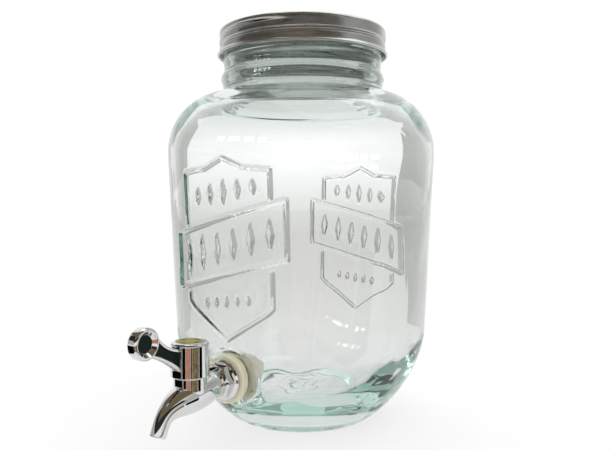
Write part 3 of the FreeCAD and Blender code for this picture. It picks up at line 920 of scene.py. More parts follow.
@dataclass
class GlassJar:
    """The pressed glass jar: rounded square body, round neck and base, tap boss and raised ornament."""

    reach_top: float = 90.7
    reach_low: float = 85.0
    corner_offset: float = 20.2
    bow_deg: float = 13.3
    shoulder: float = 176.5
    shoulder_powers: Spot = (1.1, 0.926, 2.0)
    heel: float = 57.6
    heel_start_deg: float = 85.0
    heel_powers: Spot = (1.5, 1.4, 8.0)
    base_radius: float = 44.0
    push_up: float = 5.55
    base_ring_pitch: float = 7.0
    base_ring_height: float = 0.22
    base_ring_step: float = 1.4
    base_ring_rows: int = 17
    bearing: tuple[Point, ...] = ((25.2, 5.0), (28.5, 3.6), (31.5, 2.2), (33.8, 1.0), (35.4, 0.35),
                                  (37.2, 0.08), (39.5, 0.0), (42.0, 0.04), (43.9, 0.16))
    wall: float = 4.0
    floor: float = 10.5
    floor_crown: float = 0.02
    floor_radius: float = 36.0
    floor_rows: int = 6
    neck_foot: float = 217.0
    neck_foot_radius: float = 55.5
    collar: tuple[Point, ...] = ((54.9, 218.2), (54.3, 219.6), (54.0, 221.2), (54.2, 222.8), (54.7, 224.4),
                                 (55.1, 226.0), (55.15, 227.4), (54.8, 229.0), (54.1, 230.4), (53.5, 231.6))
    neck_radius: float = 53.2
    neck_span: Point = (232.6, 255.6)
    neck_rows: int = 18
    mouth_radius: float = 47.5
    mouth_drop: float = 3.0
    mouth_span: Point = (215.0, 254.0)
    mouth_rows: int = 39
    mouth_bend: Point = (205.0, 228.0)
    mouth_bend_passes: int = 10
    mouth_bend_pull: float = 0.5
    rim: float = 258.2
    lip_foot: float = 255.7
    lip_round: float = 2.2
    thread_foot: float = 233.0
    thread_start: float = 238.0
    thread_pitch: float = 6.35
    thread_turns: Point = (-0.2, 1.9)
    thread_height: float = 0.7
    thread_half: float = 1.7
    hole_radius: float = 7.8
    pad_radius: float = 16.0
    recess_radius: float = 14.2
    seat_blend: float = 3.0
    face_deg: float = 66.0
    outer_steps: tuple[int, int] = (112, 32)
    outer_rows_each: tuple[int, int, int] = (32, 149, 20)
    inner_steps: tuple[int, int] = (30, 36)
    inner_rows_each: tuple[int, int, int] = (34, 24, 22)
    body_ripple: float = 0.35
    heel_ripple: float = 0.6
    heel_fine: float = 0.35
    heel_ripple_span: Point = (-15.0, 25.0)
    neck_ripple: float = 0.6
    neck_ripple_rise: float = 18.0
    neck_ripple_end: Point = (248.0, 253.0)
    body_waves: Ripple = Ripple(34, 60, 3.0)
    heel_waves: Ripple = Ripple(20, 11, 8.0)
    fine_waves: Ripple = Ripple(9, 5, 2.0)
    neck_waves: Ripple = Ripple(90, 3.2, 5.0)

    def plan_radius(self, reach: float, offset: float, angle: float) -> float:
        """Distance from the axis to the rounded square.

        Args:
            reach: distance to a corner.
            offset: how far out the corners' centres lie.
            angle: direction about the axis, in radians.

        Returns:
            The radius in that direction.
        """
        if offset < TINY_MM:
            return reach
        bow = math.radians(self.bow_deg)
        face = reach - offset * (math.sqrt(2) + 1 / math.tan(bow) - 1 - 1 / math.sin(bow))
        bow_radius = face + offset * (1 / math.tan(bow) - 1)
        corner_radius = bow_radius - offset / math.sin(bow)
        folded = abs((angle + math.pi / 4) % (math.pi / 2) - math.pi / 4)
        meet = math.atan2(offset + corner_radius * math.sin(bow), offset + corner_radius * math.cos(bow))
        if folded < meet:
            back = face - bow_radius
            return back * math.cos(folded) + math.sqrt(bow_radius ** 2 - (back * math.sin(folded)) ** 2)
        lean = offset * (math.cos(folded) - math.sin(folded))
        return offset * (math.cos(folded) + math.sin(folded)) + math.sqrt(corner_radius ** 2 - lean ** 2)

    def heel_rows(self, foot: float, foot_radius: float, reach: float, side: Side,
                  count: int) -> Iterator[JarRow]:
        """Work out the rounded heel, upwards from the base.

        Args:
            foot: level where it starts.
            foot_radius: radius where it starts.
            reach: reach to the corners where it ends.
            side: the skin that it belongs to.
            count: how many rows.

        Returns:
            The rows, without the last level.
        """
        out_power, up_power, corner_power = self.heel_powers
        for step in range(count):
            angle = math.radians(mixed(self.heel_start_deg, 0.0, step / count))
            out = math.cos(angle) ** out_power
            up = 1 - math.sin(angle) ** up_power
            offset = self.corner_offset * math.cos(angle) ** corner_power
            yield JarRow(mixed(foot_radius, reach, out), mixed(foot, self.heel, up), offset, side)

    def body_rows(self, inset: float, side: Side, count: int) -> Iterator[JarRow]:
        """Work out the tapering body, upwards.

        Args:
            inset: how far the skin lies inside the jar's outline.
            side: the skin that it belongs to.
            count: how many steps.

        Returns:
            The rows, with both ends.
        """
        for step in range(count + 1):
            share = step / count
            reach = mixed(self.reach_low, self.reach_top, share) - inset
            yield JarRow(reach, mixed(self.heel, self.shoulder, share), self.corner_offset, side)

    def shoulder_rows(self, neck: float, neck_radius: float, reach: float, side: Side,
                      count: int) -> Iterator[JarRow]:
        """Work out the shoulder, upwards to the neck.

        Args:
            neck: level where it ends.
            neck_radius: radius where it ends.
            reach: reach to the corners where it starts.
            side: the skin that it belongs to.
            count: how many rows.

        Returns:
            The rows, without the first level.
        """
        out_power, up_power, corner_power = self.shoulder_powers
        for step in range(1, count + 1):
            angle = math.radians(mixed(90.0, 0.0, step / count))
            out = math.sin(angle) ** out_power
            up = max(math.cos(angle), 0.0) ** up_power
            offset = self.corner_offset * math.sin(angle) ** corner_power
            yield JarRow(mixed(neck_radius, reach, out), mixed(self.shoulder, neck, up), offset, side)

    def outer_rows(self) -> list[JarRow]:
        """Work out the outside, from the middle of the base up and over the rim.

        Returns:
            The rows in order.
        """
        outer = Side.OUTER
        heel, body, shoulder = self.outer_rows_each
        radii = [self.base_ring_step * i for i in range(self.base_ring_rows)]
        wave = FULL_TURN / self.base_ring_pitch
        base = [(r, self.push_up + self.base_ring_height * math.cos(wave * r)) for r in radii]
        rows = [JarRow(r, z, 0.0, outer) for r, z in (*base, *self.bearing)]
        rows += self.heel_rows(0.0, self.base_radius, self.reach_low, outer, heel)
        rows += self.body_rows(0.0, outer, body)
        rows += self.shoulder_rows(self.neck_foot, self.neck_foot_radius, self.reach_top, outer, shoulder)
        low, high = self.neck_span
        neck = stretch((self.neck_radius, low), (self.neck_radius, high), self.neck_rows)
        lip = rounded([(self.neck_radius, self.lip_foot, 0), (self.neck_radius, self.rim, self.lip_round),
                       (self.mouth_radius, self.rim, self.lip_round), (self.mouth_radius, self.lip_foot, 0)])
        return rows + [JarRow(r, z, 0.0, outer) for r, z in (*self.collar, *neck, *lip[1:-1])]

    def inner_rows(self) -> list[JarRow]:
        """Work out the inside, from the middle of the floor up to the mouth.

        Returns:
            The rows in order.
        """
        inner = Side.INNER
        heel, body, shoulder = self.inner_rows_each
        level = self.floor + self.floor_crown
        radii = [self.floor_radius * i / self.floor_rows for i in range(self.floor_rows)]
        rows = [JarRow(r, level, 0.0, inner) for r in radii]
        rows += self.heel_rows(self.floor, self.floor_radius, self.reach_low - self.wall, inner, heel)
        rows += self.body_rows(self.wall, inner, body)
        rows += self.shoulder_rows(self.neck_foot - self.mouth_drop, self.mouth_radius,
                                   self.reach_top - self.wall, inner, shoulder)
        low, high = self.mouth_span
        mouth = stretch((self.mouth_radius, low), (self.mouth_radius, high), self.mouth_rows)
        rows += [JarRow(r, z, 0.0, inner) for r, z in mouth]
        self.ease(rows)
        return rows

    def ease(self, rows: list[JarRow]) -> None:
        """Round the bend where the shoulder's inside meets the mouth.

        Args:
            rows: the rows of the inside, which are moved.
        """
        low, high = self.mouth_bend
        for _ in range(self.mouth_bend_passes):
            for before, row, after in zip(rows, rows[1:], rows[2:]):
                if low < row.level < high:
                    pull = self.mouth_bend_pull
                    row.reach = mixed(row.reach, (before.reach + after.reach) / 2, pull)
                    row.level = mixed(row.level, (before.level + after.level) / 2, pull)

    def spun(self) -> BMesh:
        """Spin both skins and close them at the mouth.

        Returns:
            The mesh, still round.
        """
        bm = bmesh.new()
        bm.verts.layers.float.new("corner_offset")
        bm.verts.layers.int.new("skin")
        self.spin_rows(bm, self.outer_rows(), self.outer_steps)
        self.spin_rows(bm, self.inner_rows(), self.inner_steps)
        bmesh.ops.remove_doubles(bm, verts=bm.verts, dist=MERGE_MM)
        bmesh.ops.bridge_loops(bm, edges=[edge for edge in bm.edges if len(edge.link_faces) == 1])
        return bm

    def spin_rows(self, bm: BMesh, rows: Sequence[JarRow], counts: tuple[int, int]) -> None:
        """Spin rows into a skin.

        Args:
            bm: the mesh that gets the skin.
            rows: the levels, in order.
            counts: steps on each face that carries the ornament, and on each flank between them.
        """
        offset_layer = bm.verts.layers.float["corner_offset"]
        side_layer = bm.verts.layers.int["skin"]
        start = Matrix.Rotation(math.radians(-90 - self.face_deg / 2), 3, "Z")
        verts = []
        for row in rows:
            vert = bm.verts.new(start @ Vector((row.reach, 0, row.level)))
            vert[offset_layer] = row.offset
            vert[side_layer] = row.side.value
            verts.append(vert)
        geom = verts + [bm.edges.new(pair) for pair in zip(verts, verts[1:])]
        flank_deg = 180 - self.face_deg
        for degrees, steps in ((self.face_deg, counts[0]), (flank_deg, counts[1])) * 2:
            made = bmesh.ops.spin(bm, geom=geom, cent=(0, 0, 0), axis=(0, 0, 1), dvec=(0, 0, 0),
                                  angle=math.radians(degrees), steps=steps, use_merge=False,
                                  use_duplicate=False)
            geom = made["geom_last"]

    def shape(self, bm: BMesh) -> None:
        """Square the plan, then press the outer skin, ripple the inner one and flatten the tap's two seats.

        Args:
            bm: the round mesh.
        """
        offset_layer = bm.verts.layers.float["corner_offset"]
        side_layer = bm.verts.layers.int["skin"]
        ornament = Ornament()
        for vert in bm.verts:
            reach = math.hypot(vert.co.x, vert.co.y)
            if reach < TINY_MM:
                continue
            angle = math.atan2(vert.co.y, vert.co.x)
            outer = vert[side_layer] == Side.OUTER.value
            radius = self.plan_radius(reach, vert[offset_layer], angle)
            if outer:
                radius = self.pressed(ornament, radius, angle, vert.co)
            else:
                radius += self.flow(radius * angle, vert.co.z)
            vert.co = (radius * math.cos(angle), radius * math.sin(angle), vert.co.z)
            if vert.co.y < 0:
                self.flatten_seat(vert, outer)

    def pressed(self, ornament: Ornament, radius: float, angle: float, point: Vector) -> float:
        """Raise the ornament and the neck's thread on the outer skin, and dish its back.

        Args:
            ornament: the frame on the two faces.
            radius: distance from the axis to the plain skin.
            angle: direction about the axis, in radians.
            point: the point before it moves.

        Returns:
            Distance from the axis to the pressed skin.
        """
        level = point.z
        across = radius * math.cos(angle)
        if self.heel < level < self.shoulder and abs(across) < ornament.reach:
            radius += ornament.height(across if point.y < 0 else -across, level)
        if point.y > 0:
            radius -= ornament.sunk(across, level)
        if level > self.thread_foot:
            gap, fade = helix_gap(angle - THREAD_ZERO, level, self.thread_start, self.thread_pitch,
                                  self.thread_turns)
            radius += self.thread_height * fade * ridge(gap, self.thread_half)
        return radius

    def flow(self, along: float, level: float) -> float:
        """How unevenly the mould's plunger left the inner skin.

        Args:
            along: place round the jar.
            level: place up the jar.

        Returns:
            How far the skin stands out there.
        """
        start, end = self.heel_ripple_span
        lumps = self.heel_waves.at(along, level) + self.heel_fine * self.fine_waves.at(along, level)
        heel = 1 - smooth_step(self.heel + start, self.heel + end, level)
        neck = smooth_step(self.neck_foot - self.neck_ripple_rise, self.neck_foot, level)
        lines = self.neck_waves.at(along, level) * (1 - smooth_step(*self.neck_ripple_end, level))
        body = self.body_ripple * self.body_waves.at(along, level) + self.heel_ripple * heel * lumps
        return mixed(body, self.neck_ripple * lines, neck)

    def flatten_seat(self, vert: BMVert, outer: bool) -> None:
        """Draw a point near the tap's axis to the flat seat on its side of the glass.

        Args:
            vert: the point.
            outer: True on the outer skin.
        """
        seat = SEAT_Y if outer else SEAT_Y + GLASS_AT_TAP
        flat = self.pad_radius if outer else self.recess_radius
        pull = 1 - smooth_step(flat, flat + self.seat_blend, tap_gap(vert.co))
        vert.co.y = mixed(vert.co.y, seat, pull)

    def open_hole(self, bm: BMesh) -> None:
        """Cut the tap's hole through both skins and wall it.

        Args:
            bm: the shaped mesh.
        """
        middles = [(face, face.calc_center_median()) for face in bm.faces]
        gone = [face for face, spot in middles if spot.y < 0 and tap_gap(spot) < self.hole_radius]
        bmesh.ops.delete(bm, geom=gone, context="FACES")
        edges = [edge for edge in bm.edges if len(edge.link_faces) == 1]
        for vert in {vert for edge in edges for vert in edge.verts}:
            scale = self.hole_radius / tap_gap(vert.co)
            vert.co.x *= scale
            vert.co.z = TAP_LEVEL + (vert.co.z - TAP_LEVEL) * scale
        bmesh.ops.bridge_loops(bm, edges=edges)

    def build(self) -> None:
        """Make the jar's piece."""
        bm = self.spun()
        self.shape(bm)
        self.open_hole(bm)
        tidy(bm)
        made = piece(bm, "jar_glass", JAR_GLASS, Body.JAR, ["jar"], sharp_deg=60.0)
        # Light passes through clear glass, so the jar throws no dark shadow on the tap or the floor
        made.visible_shadow = False


@dataclass
class ScrewLid:
    """The tinplate lid: sunk panel, band with a rolled thread, and a curled edge; its liner ring."""

    top: float = 260.0
    radius: float = 56.2
    gauge: float = 0.4
    panel_radius: float = 45.0
    panel_drop: float = 0.9
    panel_slope: float = 0.9
    panel_round: float = 0.6
    corner: float = 2.4
    corner_depth: float = 4.0
    corner_rows: int = 7
    band_drop: float = 4.3
    band_foot: float = 245.2
    band_rows: int = 40
    thread_start: float = 248.4
    thread_pitch: float = 5.6
    thread_turns: Point = (-0.45, 1.24)
    thread_depth: float = 1.6
    thread_half: float = 1.8
    curl_radius: float = 0.8
    curl_reach: float = 56.8
    curl_level: float = 243.0
    curl_deg: Point = (50.0, -190.0)
    curl_rows: int = 12
    steps: int = 192
    inside_outwards: float = 0.1
    inside_upwards: float = 0.3

    def profile(self) -> list[Point]:
        """Work out the lid's outer skin, from its middle out and down to the curl.

        Returns:
            The profile's points.
        """
        sunk = self.top - self.panel_drop
        points = rounded([(0, sunk, 0), (self.panel_radius, sunk, self.panel_round),
                          (self.panel_radius + self.panel_slope, self.top, self.panel_round),
                          (self.radius, self.top, self.corner),
                          (self.radius, self.top - self.corner_depth, 0)], self.corner_rows)
        points += stretch((self.radius, self.top - self.band_drop), (self.radius, self.band_foot),
                          self.band_rows)
        for step in range(self.curl_rows + 1):
            angle = math.radians(mixed(*self.curl_deg, step / self.curl_rows))
            points.append((self.curl_reach + self.curl_radius * math.cos(angle),
                           self.curl_level + self.curl_radius * math.sin(angle)))
        return points

    def roll_thread(self, bm: BMesh) -> None:
        """Draw the thread's groove into the band.

        Args:
            bm: the lid's outer skin.
        """
        for vert in bm.verts:
            radius = math.hypot(vert.co.x, vert.co.y)
            if abs(radius - self.radius) > SAME_MM or vert.co.z < self.band_foot:
                continue
            angle = math.atan2(vert.co.y, vert.co.x) - THREAD_ZERO
            gap, fade = helix_gap(angle, vert.co.z, self.thread_start, self.thread_pitch, self.thread_turns)
            scale_radius(vert, 1 - self.thread_depth * fade * ridge(gap, self.thread_half) / radius)

    def mark_inside(self, bm: BMesh) -> None:
        """Give the faces of the lid's inside material number 1, the brighter tinplate that is painted light.

        Args:
            bm: the lid with its gauge.
        """
        bm.normal_update()
        for face in bm.faces:
            middle = face.calc_center_median()
            outwards = face.normal.dot(Vector((middle.x, middle.y, 0)).normalized())
            inside = outwards < self.inside_outwards and face.normal.z < self.inside_upwards
            if middle.z > self.band_foot and inside:
                face.material_index = 1

    def build(self) -> None:
        """Make the lid's piece and dress the liner."""
        bm = lathe(self.profile(), self.steps)
        self.roll_thread(bm)
        bmesh.ops.solidify(bm, geom=list(bm.faces), thickness=self.gauge)
        self.mark_inside(bm)
        # The lid's inside takes a brighter copy of the tinplate, painted light for the shaded inside seen
        # through the neck
        piece(bm, "lid_tinplate", LID_TINPLATE, Body.LID, ["lid_shell"], sharp_deg=50.0,
              painted_light_finish=LID_INSIDE_PAINTED_LIGHT)
        dress_node("lid_seal", LINER_RUBBER)


@dataclass
class TapSeat:
    """The soft washers and the lock nut that clamp the tap to the glass."""

    outer_radius: float = 14.5
    inner_radius: float = 14.0
    inner_thickness: float = 4.0
    bore: float = 7.8
    bore_round: float = 0.3
    rim_round: float = 1.0
    nut_flats: float = 21.0
    nut_length: float = 9.0
    nut_flange: float = 12.6
    nut_flange_thickness: float = 2.6
    nut_flange_round: float = 0.5
    nut_bore: float = 7.5
    nut_bore_bevel: float = 0.5
    nut_seam: float = 1.0
    nut_face_inset: float = 0.3
    nut_chamfer: float = 1.8
    nut_row: float = 0.2
    nut_rows: int = 8
    steps: int = 96

    def ring(self, name: str, node: str, radius: float, thickness: float, y: float) -> None:
        """Make a washer with softly rounded rims.

        Args:
            name: name of the piece.
            node: the CAD node that it stands for.
            radius: its outer radius.
            thickness: its thickness.
            y: where its inner face lies.
        """
        corners = [(self.bore, thickness / 2, 0), (self.bore, 0, self.bore_round),
                   (radius, 0, self.rim_round), (radius, thickness, self.rim_round),
                   (self.bore, thickness, self.bore_round), (self.bore, thickness / 2, 0)]
        bm = lathe(rounded(corners)[:-1], self.steps, closed=True)
        on_tap_axis(bm, y)
        piece(bm, name, WASHER_SILICONE, Body.JAR, [node])

    def nut(self, y: float) -> None:
        """Make the flanged nut, with the chamfer that a turned hex has.

        Args:
            y: where its flange rests on the washer.
        """
        flange, bore, rows = self.nut_flange_thickness, self.nut_bore, self.nut_rows
        full = self.nut_flats / math.sqrt(3)
        end = flange + self.nut_length
        chamfer = end - self.nut_chamfer
        corners = [(bore, self.nut_seam, 0), (bore, 0, self.bore_round),
                   (self.nut_flange, 0, self.nut_flange_round),
                   (self.nut_flange, flange, self.nut_flange_round), (full, flange, 0),
                   (full, flange + self.nut_row, 0)]
        profile = rounded(corners)
        profile += stretch((full, flange + 2 * self.nut_row), (full, chamfer - self.nut_row), rows)
        profile += stretch((full, chamfer), (self.nut_flats / 2 - self.nut_face_inset, end), rows)
        profile += [(bore + self.nut_bore_bevel, end), (bore, end - self.nut_bore_bevel)]
        bm = lathe(profile, self.steps, closed=True)
        hex_clip(bm, self.nut_flats, flange + self.nut_row / 2, end)
        on_tap_axis(bm, y, outwards=False)
        piece(bm, "lock_nut_plastic", NUT_PLASTIC, Body.JAR, ["lock_nut"])

    def build(self) -> None:
        """Make all the pieces of the seat."""
        inside = SEAT_Y + GLASS_AT_TAP + self.inner_thickness
        self.ring("outer_washer_silicone", "outer_washer", self.outer_radius, OUTER_WASHER, SEAT_Y)
        self.ring("inner_washer_silicone", "inner_washer", self.inner_radius, self.inner_thickness, inside)
        self.nut(inside)


@dataclass
class TapCasting:
    """The chrome tap: threaded shank, flange, hex, barrel and spout, and the valve inside it."""

    flange_radius: float = 12.0
    flange_thickness: float = 2.6
    flange_rim: float = 0.6
    flange_rounds: Spot = (0.5, 0.9, 0.3)
    flange_step: float = 0.2
    hex_flats: float = 18.6
    hex_length: float = 6.0
    hex_chamfer: float = 1.8
    hex_row: float = 0.1
    hex_rows: tuple[int, int] = (8, 10)
    hex_face_radius: float = 6.9
    hex_face_inset: float = 0.4
    hex_face_crown: float = 0.05
    shank_radius: float = 7.4
    shank_length: float = 31.6
    shank_rows: int = 120
    shank_steps: int = 48
    thread_pitch: float = 1.8
    thread_depth: float = 0.55
    thread_lead: Point = (2.0, 1.2)
    bore_depth: float = 14.0
    bore_bevel: Point = (1.2, 1.0)
    barrel_radius: float = 9.4
    barrel_foot: float = 39.3
    barrel_top: float = 48.5
    barrel_rounds: Point = (0.4, 0.5)
    pocket_radius: float = 7.3
    pocket_depth: float = 2.0
    pocket_round: float = 0.2
    root_reach: float = 10.6
    tip_y: float = -136.45
    tip_level: float = 20.6
    tip_lean_deg: float = 20.6
    tip_run: float = 14.2
    tip_radius: float = 4.45
    lip: tuple[Point, ...] = ((0.5, 0.0), (0.15, -0.15), (0.0, -0.45), (0.0, -0.7), (0.25, -0.95))
    bend_reach: float = 17.7
    bend_drop: float = 3.9
    widths: tuple[float, ...] = (6.5, 16.6, 1.53, 5.11, 4.45)
    passage: float = 2.8
    outlet: float = 3.5
    outlet_span: Point = (0.5, 0.95)
    outlet_shares: tuple[float, ...] = (0.94, 0.86, 0.76, 0.64, 0.5)
    spout_rows: int = 48
    spout_steps: int = 64
    look_ahead: float = 0.01
    steps: int = 96

    def heading(self, path: Sequence[Vector], share: float) -> Vector:
        """The way that the spout's path runs at a share of its length."""
        return bezier(path, share + self.look_ahead) - bezier(path, max(share - self.look_ahead, 0.0))

    def spout(self) -> None:
        """Make the swept spout, open at its tip."""
        lean = math.radians(self.tip_lean_deg)
        down = Vector((0, -math.sin(lean), -math.cos(lean)))
        tip = Vector((0, self.tip_y, self.tip_level))
        root = Vector((0, SEAT_Y - self.root_reach, TAP_LEVEL))
        below = Vector((0, BARREL_Y - self.bend_reach, TAP_LEVEL - self.bend_drop))
        path = (root, below, tip - down * self.tip_run, tip)
        rings = []
        for share in (i / self.spout_rows for i in range(self.spout_rows)):
            rings.append((bezier(path, share), self.heading(path, share), bezier(self.widths, share)))
        rings += [(tip - down * back, down, self.tip_radius + change) for back, change in self.lip]
        for share in self.outlet_shares:
            bore = mixed(self.passage, self.outlet, smooth_step(*self.outlet_span, share))
            rings.append((bezier(path, share), self.heading(path, share), bore))
        bm = sweep(rings, self.spout_steps)
        bmesh.ops.holes_fill(bm, edges=[edge for edge in bm.edges if edge.is_boundary], sides=0)
        tidy(bm)
        piece(bm, "tap_spout", TAP_CHROME, Body.JAR, ["tap_body"], sharp_deg=50.0)

    def barrel(self) -> None:
        """Make the upright barrel that holds the valve."""
        pocket_floor = self.barrel_top - self.pocket_depth
        low_round, top_round = self.barrel_rounds
        corners = [(0, self.barrel_foot, 0), (self.barrel_radius, self.barrel_foot, low_round),
                   (self.barrel_radius, self.barrel_top, top_round),
                   (self.pocket_radius, self.barrel_top, self.pocket_round),
                   (self.pocket_radius, pocket_floor, 0), (0, pocket_floor, 0)]
        bm = lathe(rounded(corners), self.steps)
        bmesh.ops.translate(bm, vec=(0, BARREL_Y, 0), verts=bm.verts)
        piece(bm, "tap_barrel", TAP_CHROME, Body.JAR)

    def hex_and_flange(self) -> None:
        """Make the flange and the hex, with the hex's corners turned off at its outer end."""
        full, flange = self.hex_flats / math.sqrt(3), self.flange_thickness
        end = flange + self.hex_length
        chamfer = end - self.hex_chamfer
        crown = end + self.hex_face_crown
        low_round, rim_round, step_round = self.flange_rounds
        foot = flange + step_round
        corners = [(0, 0, 0), (self.flange_radius, 0, low_round),
                   (self.flange_radius, flange * self.flange_rim, rim_round),
                   (full + self.flange_step, flange, step_round), (full, foot, 0)]
        profile = rounded(corners)
        profile += stretch((full, foot + self.hex_row), (full, chamfer - self.hex_row), self.hex_rows[0])
        profile += stretch((full, chamfer), (self.hex_flats / 2 - self.hex_face_inset, end), self.hex_rows[1])
        profile += [(self.hex_face_radius, crown), (0, crown)]
        bm = lathe(profile, self.steps)
        hex_clip(bm, self.hex_flats, flange + self.flange_step, end)
        on_tap_axis(bm, SEAT_Y - OUTER_WASHER)
        piece(bm, "tap_hex", TAP_CHROME, Body.JAR, sharp_deg=20.0)

    def shank(self) -> None:
        """Make the threaded shank that passes through the glass."""
        length, start = self.shank_length, self.shank_length - self.bore_depth
        profile = [(0, 0)]
        profile += [(self.shank_radius, length * i / self.shank_rows) for i in range(self.shank_rows + 1)]
        profile += [(self.passage + self.bore_bevel[0], length), (self.passage, length - self.bore_bevel[1]),
                    (self.passage, start), (0, start)]
        bm = lathe(profile, self.shank_steps)
        for vert in bm.verts:
            radius = math.hypot(vert.co.x, vert.co.y)
            if abs(radius - self.shank_radius) > SAME_MM:
                continue
            turn = math.atan2(vert.co.y, vert.co.x) / FULL_TURN
            phase = (vert.co.z / self.thread_pitch - turn) % 1.0
            end = smooth_step(length - self.thread_lead[1], length, vert.co.z)
            fade = smooth_step(0, self.thread_lead[0], vert.co.z) * (1 - end)
            cut = self.thread_depth * (abs(2 * phase - 1) * fade + 1 - fade)
            scale_radius(vert, 1 - cut / radius)
        on_tap_axis(bm, SEAT_Y - OUTER_WASHER, outwards=False)
        piece(bm, "tap_shank", NUT_PLASTIC, Body.JAR, sharp_deg=50.0)

    def build(self) -> None:
        """Make the casting's pieces and dress the valve."""
        self.spout()
        self.barrel()
        self.hex_and_flange()
        self.shank()
        dress_node("valve_plug", PLUG_PLASTIC)
        dress_node("plug_o_ring_upper", RING_RUBBER)
        dress_node("plug_o_ring_lower", RING_RUBBER)
        dress_node("retaining_ring", FASTENER_STEEL)


@dataclass
class TapHandle:
    """The handle: round cap with its printed disc, ribbed lever and cupped finger ring."""

    cap_radius: float = 10.85
    cap_round: float = 1.8
    cap_steps: int = 96
    recess_radius: float = 7.8
    recess_depth: float = 1.0
    recess_round: float = 0.25
    under_disc: float = 0.02
    foot_round: float = 0.4
    hollow_radius: float = 7.5
    hollow_depth: float = 1.0
    hollow_round: float = 0.2
    reach: float = 34.2
    rise: float = 4.2
    ring_radius: float = 8.7
    ring_half: float = 3.5
    ring_round: float = 1.7
    ring_steps: int = 80
    cup_radius: float = 6.9
    cup_round: float = 0.8
    cup_foot: float = 5.0
    cup_foot_round: float = 0.5
    cup_floor: float = 1.0
    cup_slack: float = 0.05
    lever_half: float = 3.2
    lever_rows: int = 20
    root_share: float = 0.8
    root_drop: float = 2.6
    root_height: float = 14.0
    tip_top: Point = (0.7, 0.56)
    tip_low: Point = (0.35, -0.86)
    bite_share: float = 0.84
    bite_deg: tuple[int, int, int] = (30, -63, -8)
    rib: float = 1.5
    rib_bevel: float = 0.5
    panel_depth: float = 1.7
    top_bow: float = 24.0
    low_bow: float = 60.0
    rounding_rows: int = 7

    def cap(self) -> None:
        """Make the round cap with the recess for its disc."""
        floor = CAP_TOP - self.recess_depth - self.under_disc
        hollow = CAP_FOOT + self.hollow_depth
        corners = [(0, floor, 0), (self.recess_radius, floor, 0),
                   (self.recess_radius, CAP_TOP, self.recess_round),
                   (self.cap_radius, CAP_TOP, self.cap_round), (self.cap_radius, CAP_FOOT, self.foot_round),
                   (self.hollow_radius, CAP_FOOT, self.hollow_round),
                   (self.hollow_radius, hollow, 0), (0, hollow, 0)]
        bm = lathe(rounded(corners, self.rounding_rows), self.cap_steps)
        bmesh.ops.translate(bm, vec=(0, BARREL_Y, 0), verts=bm.verts)
        piece(bm, "handle_cap", TAP_CHROME, Body.HANDLE, ["handle"])

    def finger_ring(self) -> None:
        """Make the finger ring, cupped on both sides."""
        half, floor = self.ring_half, self.cup_floor
        corners = [(0, floor, 0), (self.cup_foot, floor, self.cup_foot_round),
                   (self.cup_radius, half, self.cup_round), (self.ring_radius, half, self.ring_round),
                   (self.ring_radius, -half, self.ring_round), (self.cup_radius, -half, self.cup_round),
                   (self.cup_foot, -floor, self.cup_foot_round), (0, -floor, 0)]
        bm = lathe(rounded(corners, self.rounding_rows), self.ring_steps)
        # The cups' floors are painted green-black, a painted dark reflection
        for face in bm.faces:
            middle = face.calc_center_median()
            if math.hypot(middle.x, middle.y) < self.cup_foot and abs(middle.z) < floor + self.cup_slack:
                face.material_index = 1
        place = Matrix.Translation((0, BARREL_Y - self.reach, CAP_TOP + self.rise))
        bmesh.ops.transform(bm, matrix=place @ Matrix.Rotation(math.pi / 2, 4, "Y"), verts=bm.verts)
        piece(bm, "handle_finger_ring", TAP_CHROME, Body.HANDLE, painted_light_finish=RECESS_PAINTED_REFLECTION)

    def plate(self, bm: BMesh, outline: Sequence[Vector], half: float) -> list[BMFace]:
        """Raise a flat plate from its outline, the same to both sides of the lever's middle.

        Args:
            bm: the mesh that gets the plate.
            outline: its corners, as (y, z).
            half: half its thickness.

        Returns:
            The plate's faces.
        """
        near = bm.faces.new([bm.verts.new((half, y, z)) for y, z in outline])
        made = bmesh.ops.extrude_face_region(bm, geom=[near])["geom"]
        verts = [item for item in made if isinstance(item, BMVert)]
        bmesh.ops.translate(bm, vec=(-2 * half, 0, 0), verts=verts)
        return list({face for vert in verts for face in vert.link_faces} | {near})

    def strip(self, bm: BMesh, line: Sequence[Vector]) -> None:
        """Raise a rounded rib along a line of the lever's outline, on its left.

        Args:
            bm: the mesh that gets the rib.
            line: points of the outline, as (y, z).
        """
        last = len(line) - 1
        inner = []
        for i, point in enumerate(line):
            along = (line[min(i + 1, last)] - line[max(i - 1, 0)]).normalized()
            inner.append(point + Vector((-along.y, along.x)) * self.rib)
        faces = self.plate(bm, list(line) + inner[::-1], self.lever_half)
        rims = {edge for face in faces for edge in face.edges
                if abs(edge.verts[0].co.x - edge.verts[1].co.x) < TINY_MM}
        bmesh.ops.bevel(bm, geom=list(rims), offset=self.rib_bevel, offset_type="OFFSET", segments=4,
                        profile=0.5, affect="EDGES", material=-1)

    def lever(self) -> None:
        """Make the lever: a web painted green-black as a dark reflection, between two ribs, from the cap to
        the ring's wall.
        """
        ring = Vector((BARREL_Y - self.reach, CAP_TOP + self.rise))
        root_y = BARREL_Y - self.cap_radius * self.root_share
        root_top = Vector((root_y, CAP_TOP - self.root_drop))
        root_low = Vector((root_y, CAP_TOP - self.root_drop - self.root_height))
        tip_top = ring + Vector(self.tip_top) * self.ring_radius
        tip_low = ring + Vector(self.tip_low) * self.ring_radius
        top = arc_points(root_top, tip_top, self.top_bow, self.lever_rows)
        low = arc_points(tip_low, root_low, self.low_bow, self.lever_rows)
        bite = []
        for degrees in range(*self.bite_deg):
            way = math.radians(degrees)
            bite.append(ring + Vector((math.cos(way), math.sin(way))) * self.ring_radius * self.bite_share)
        bm = bmesh.new()
        # The web between the ribs is painted green-black, a painted dark reflection
        for face in self.plate(bm, top + bite + low, self.lever_half - self.panel_depth):
            face.material_index = 1
        self.strip(bm, top)
        self.strip(bm, low)
        tidy(bm)
        piece(bm, "handle_lever", TAP_CHROME, Body.HANDLE, sharp_deg=40.0, painted_light_finish=RECESS_PAINTED_REFLECTION)

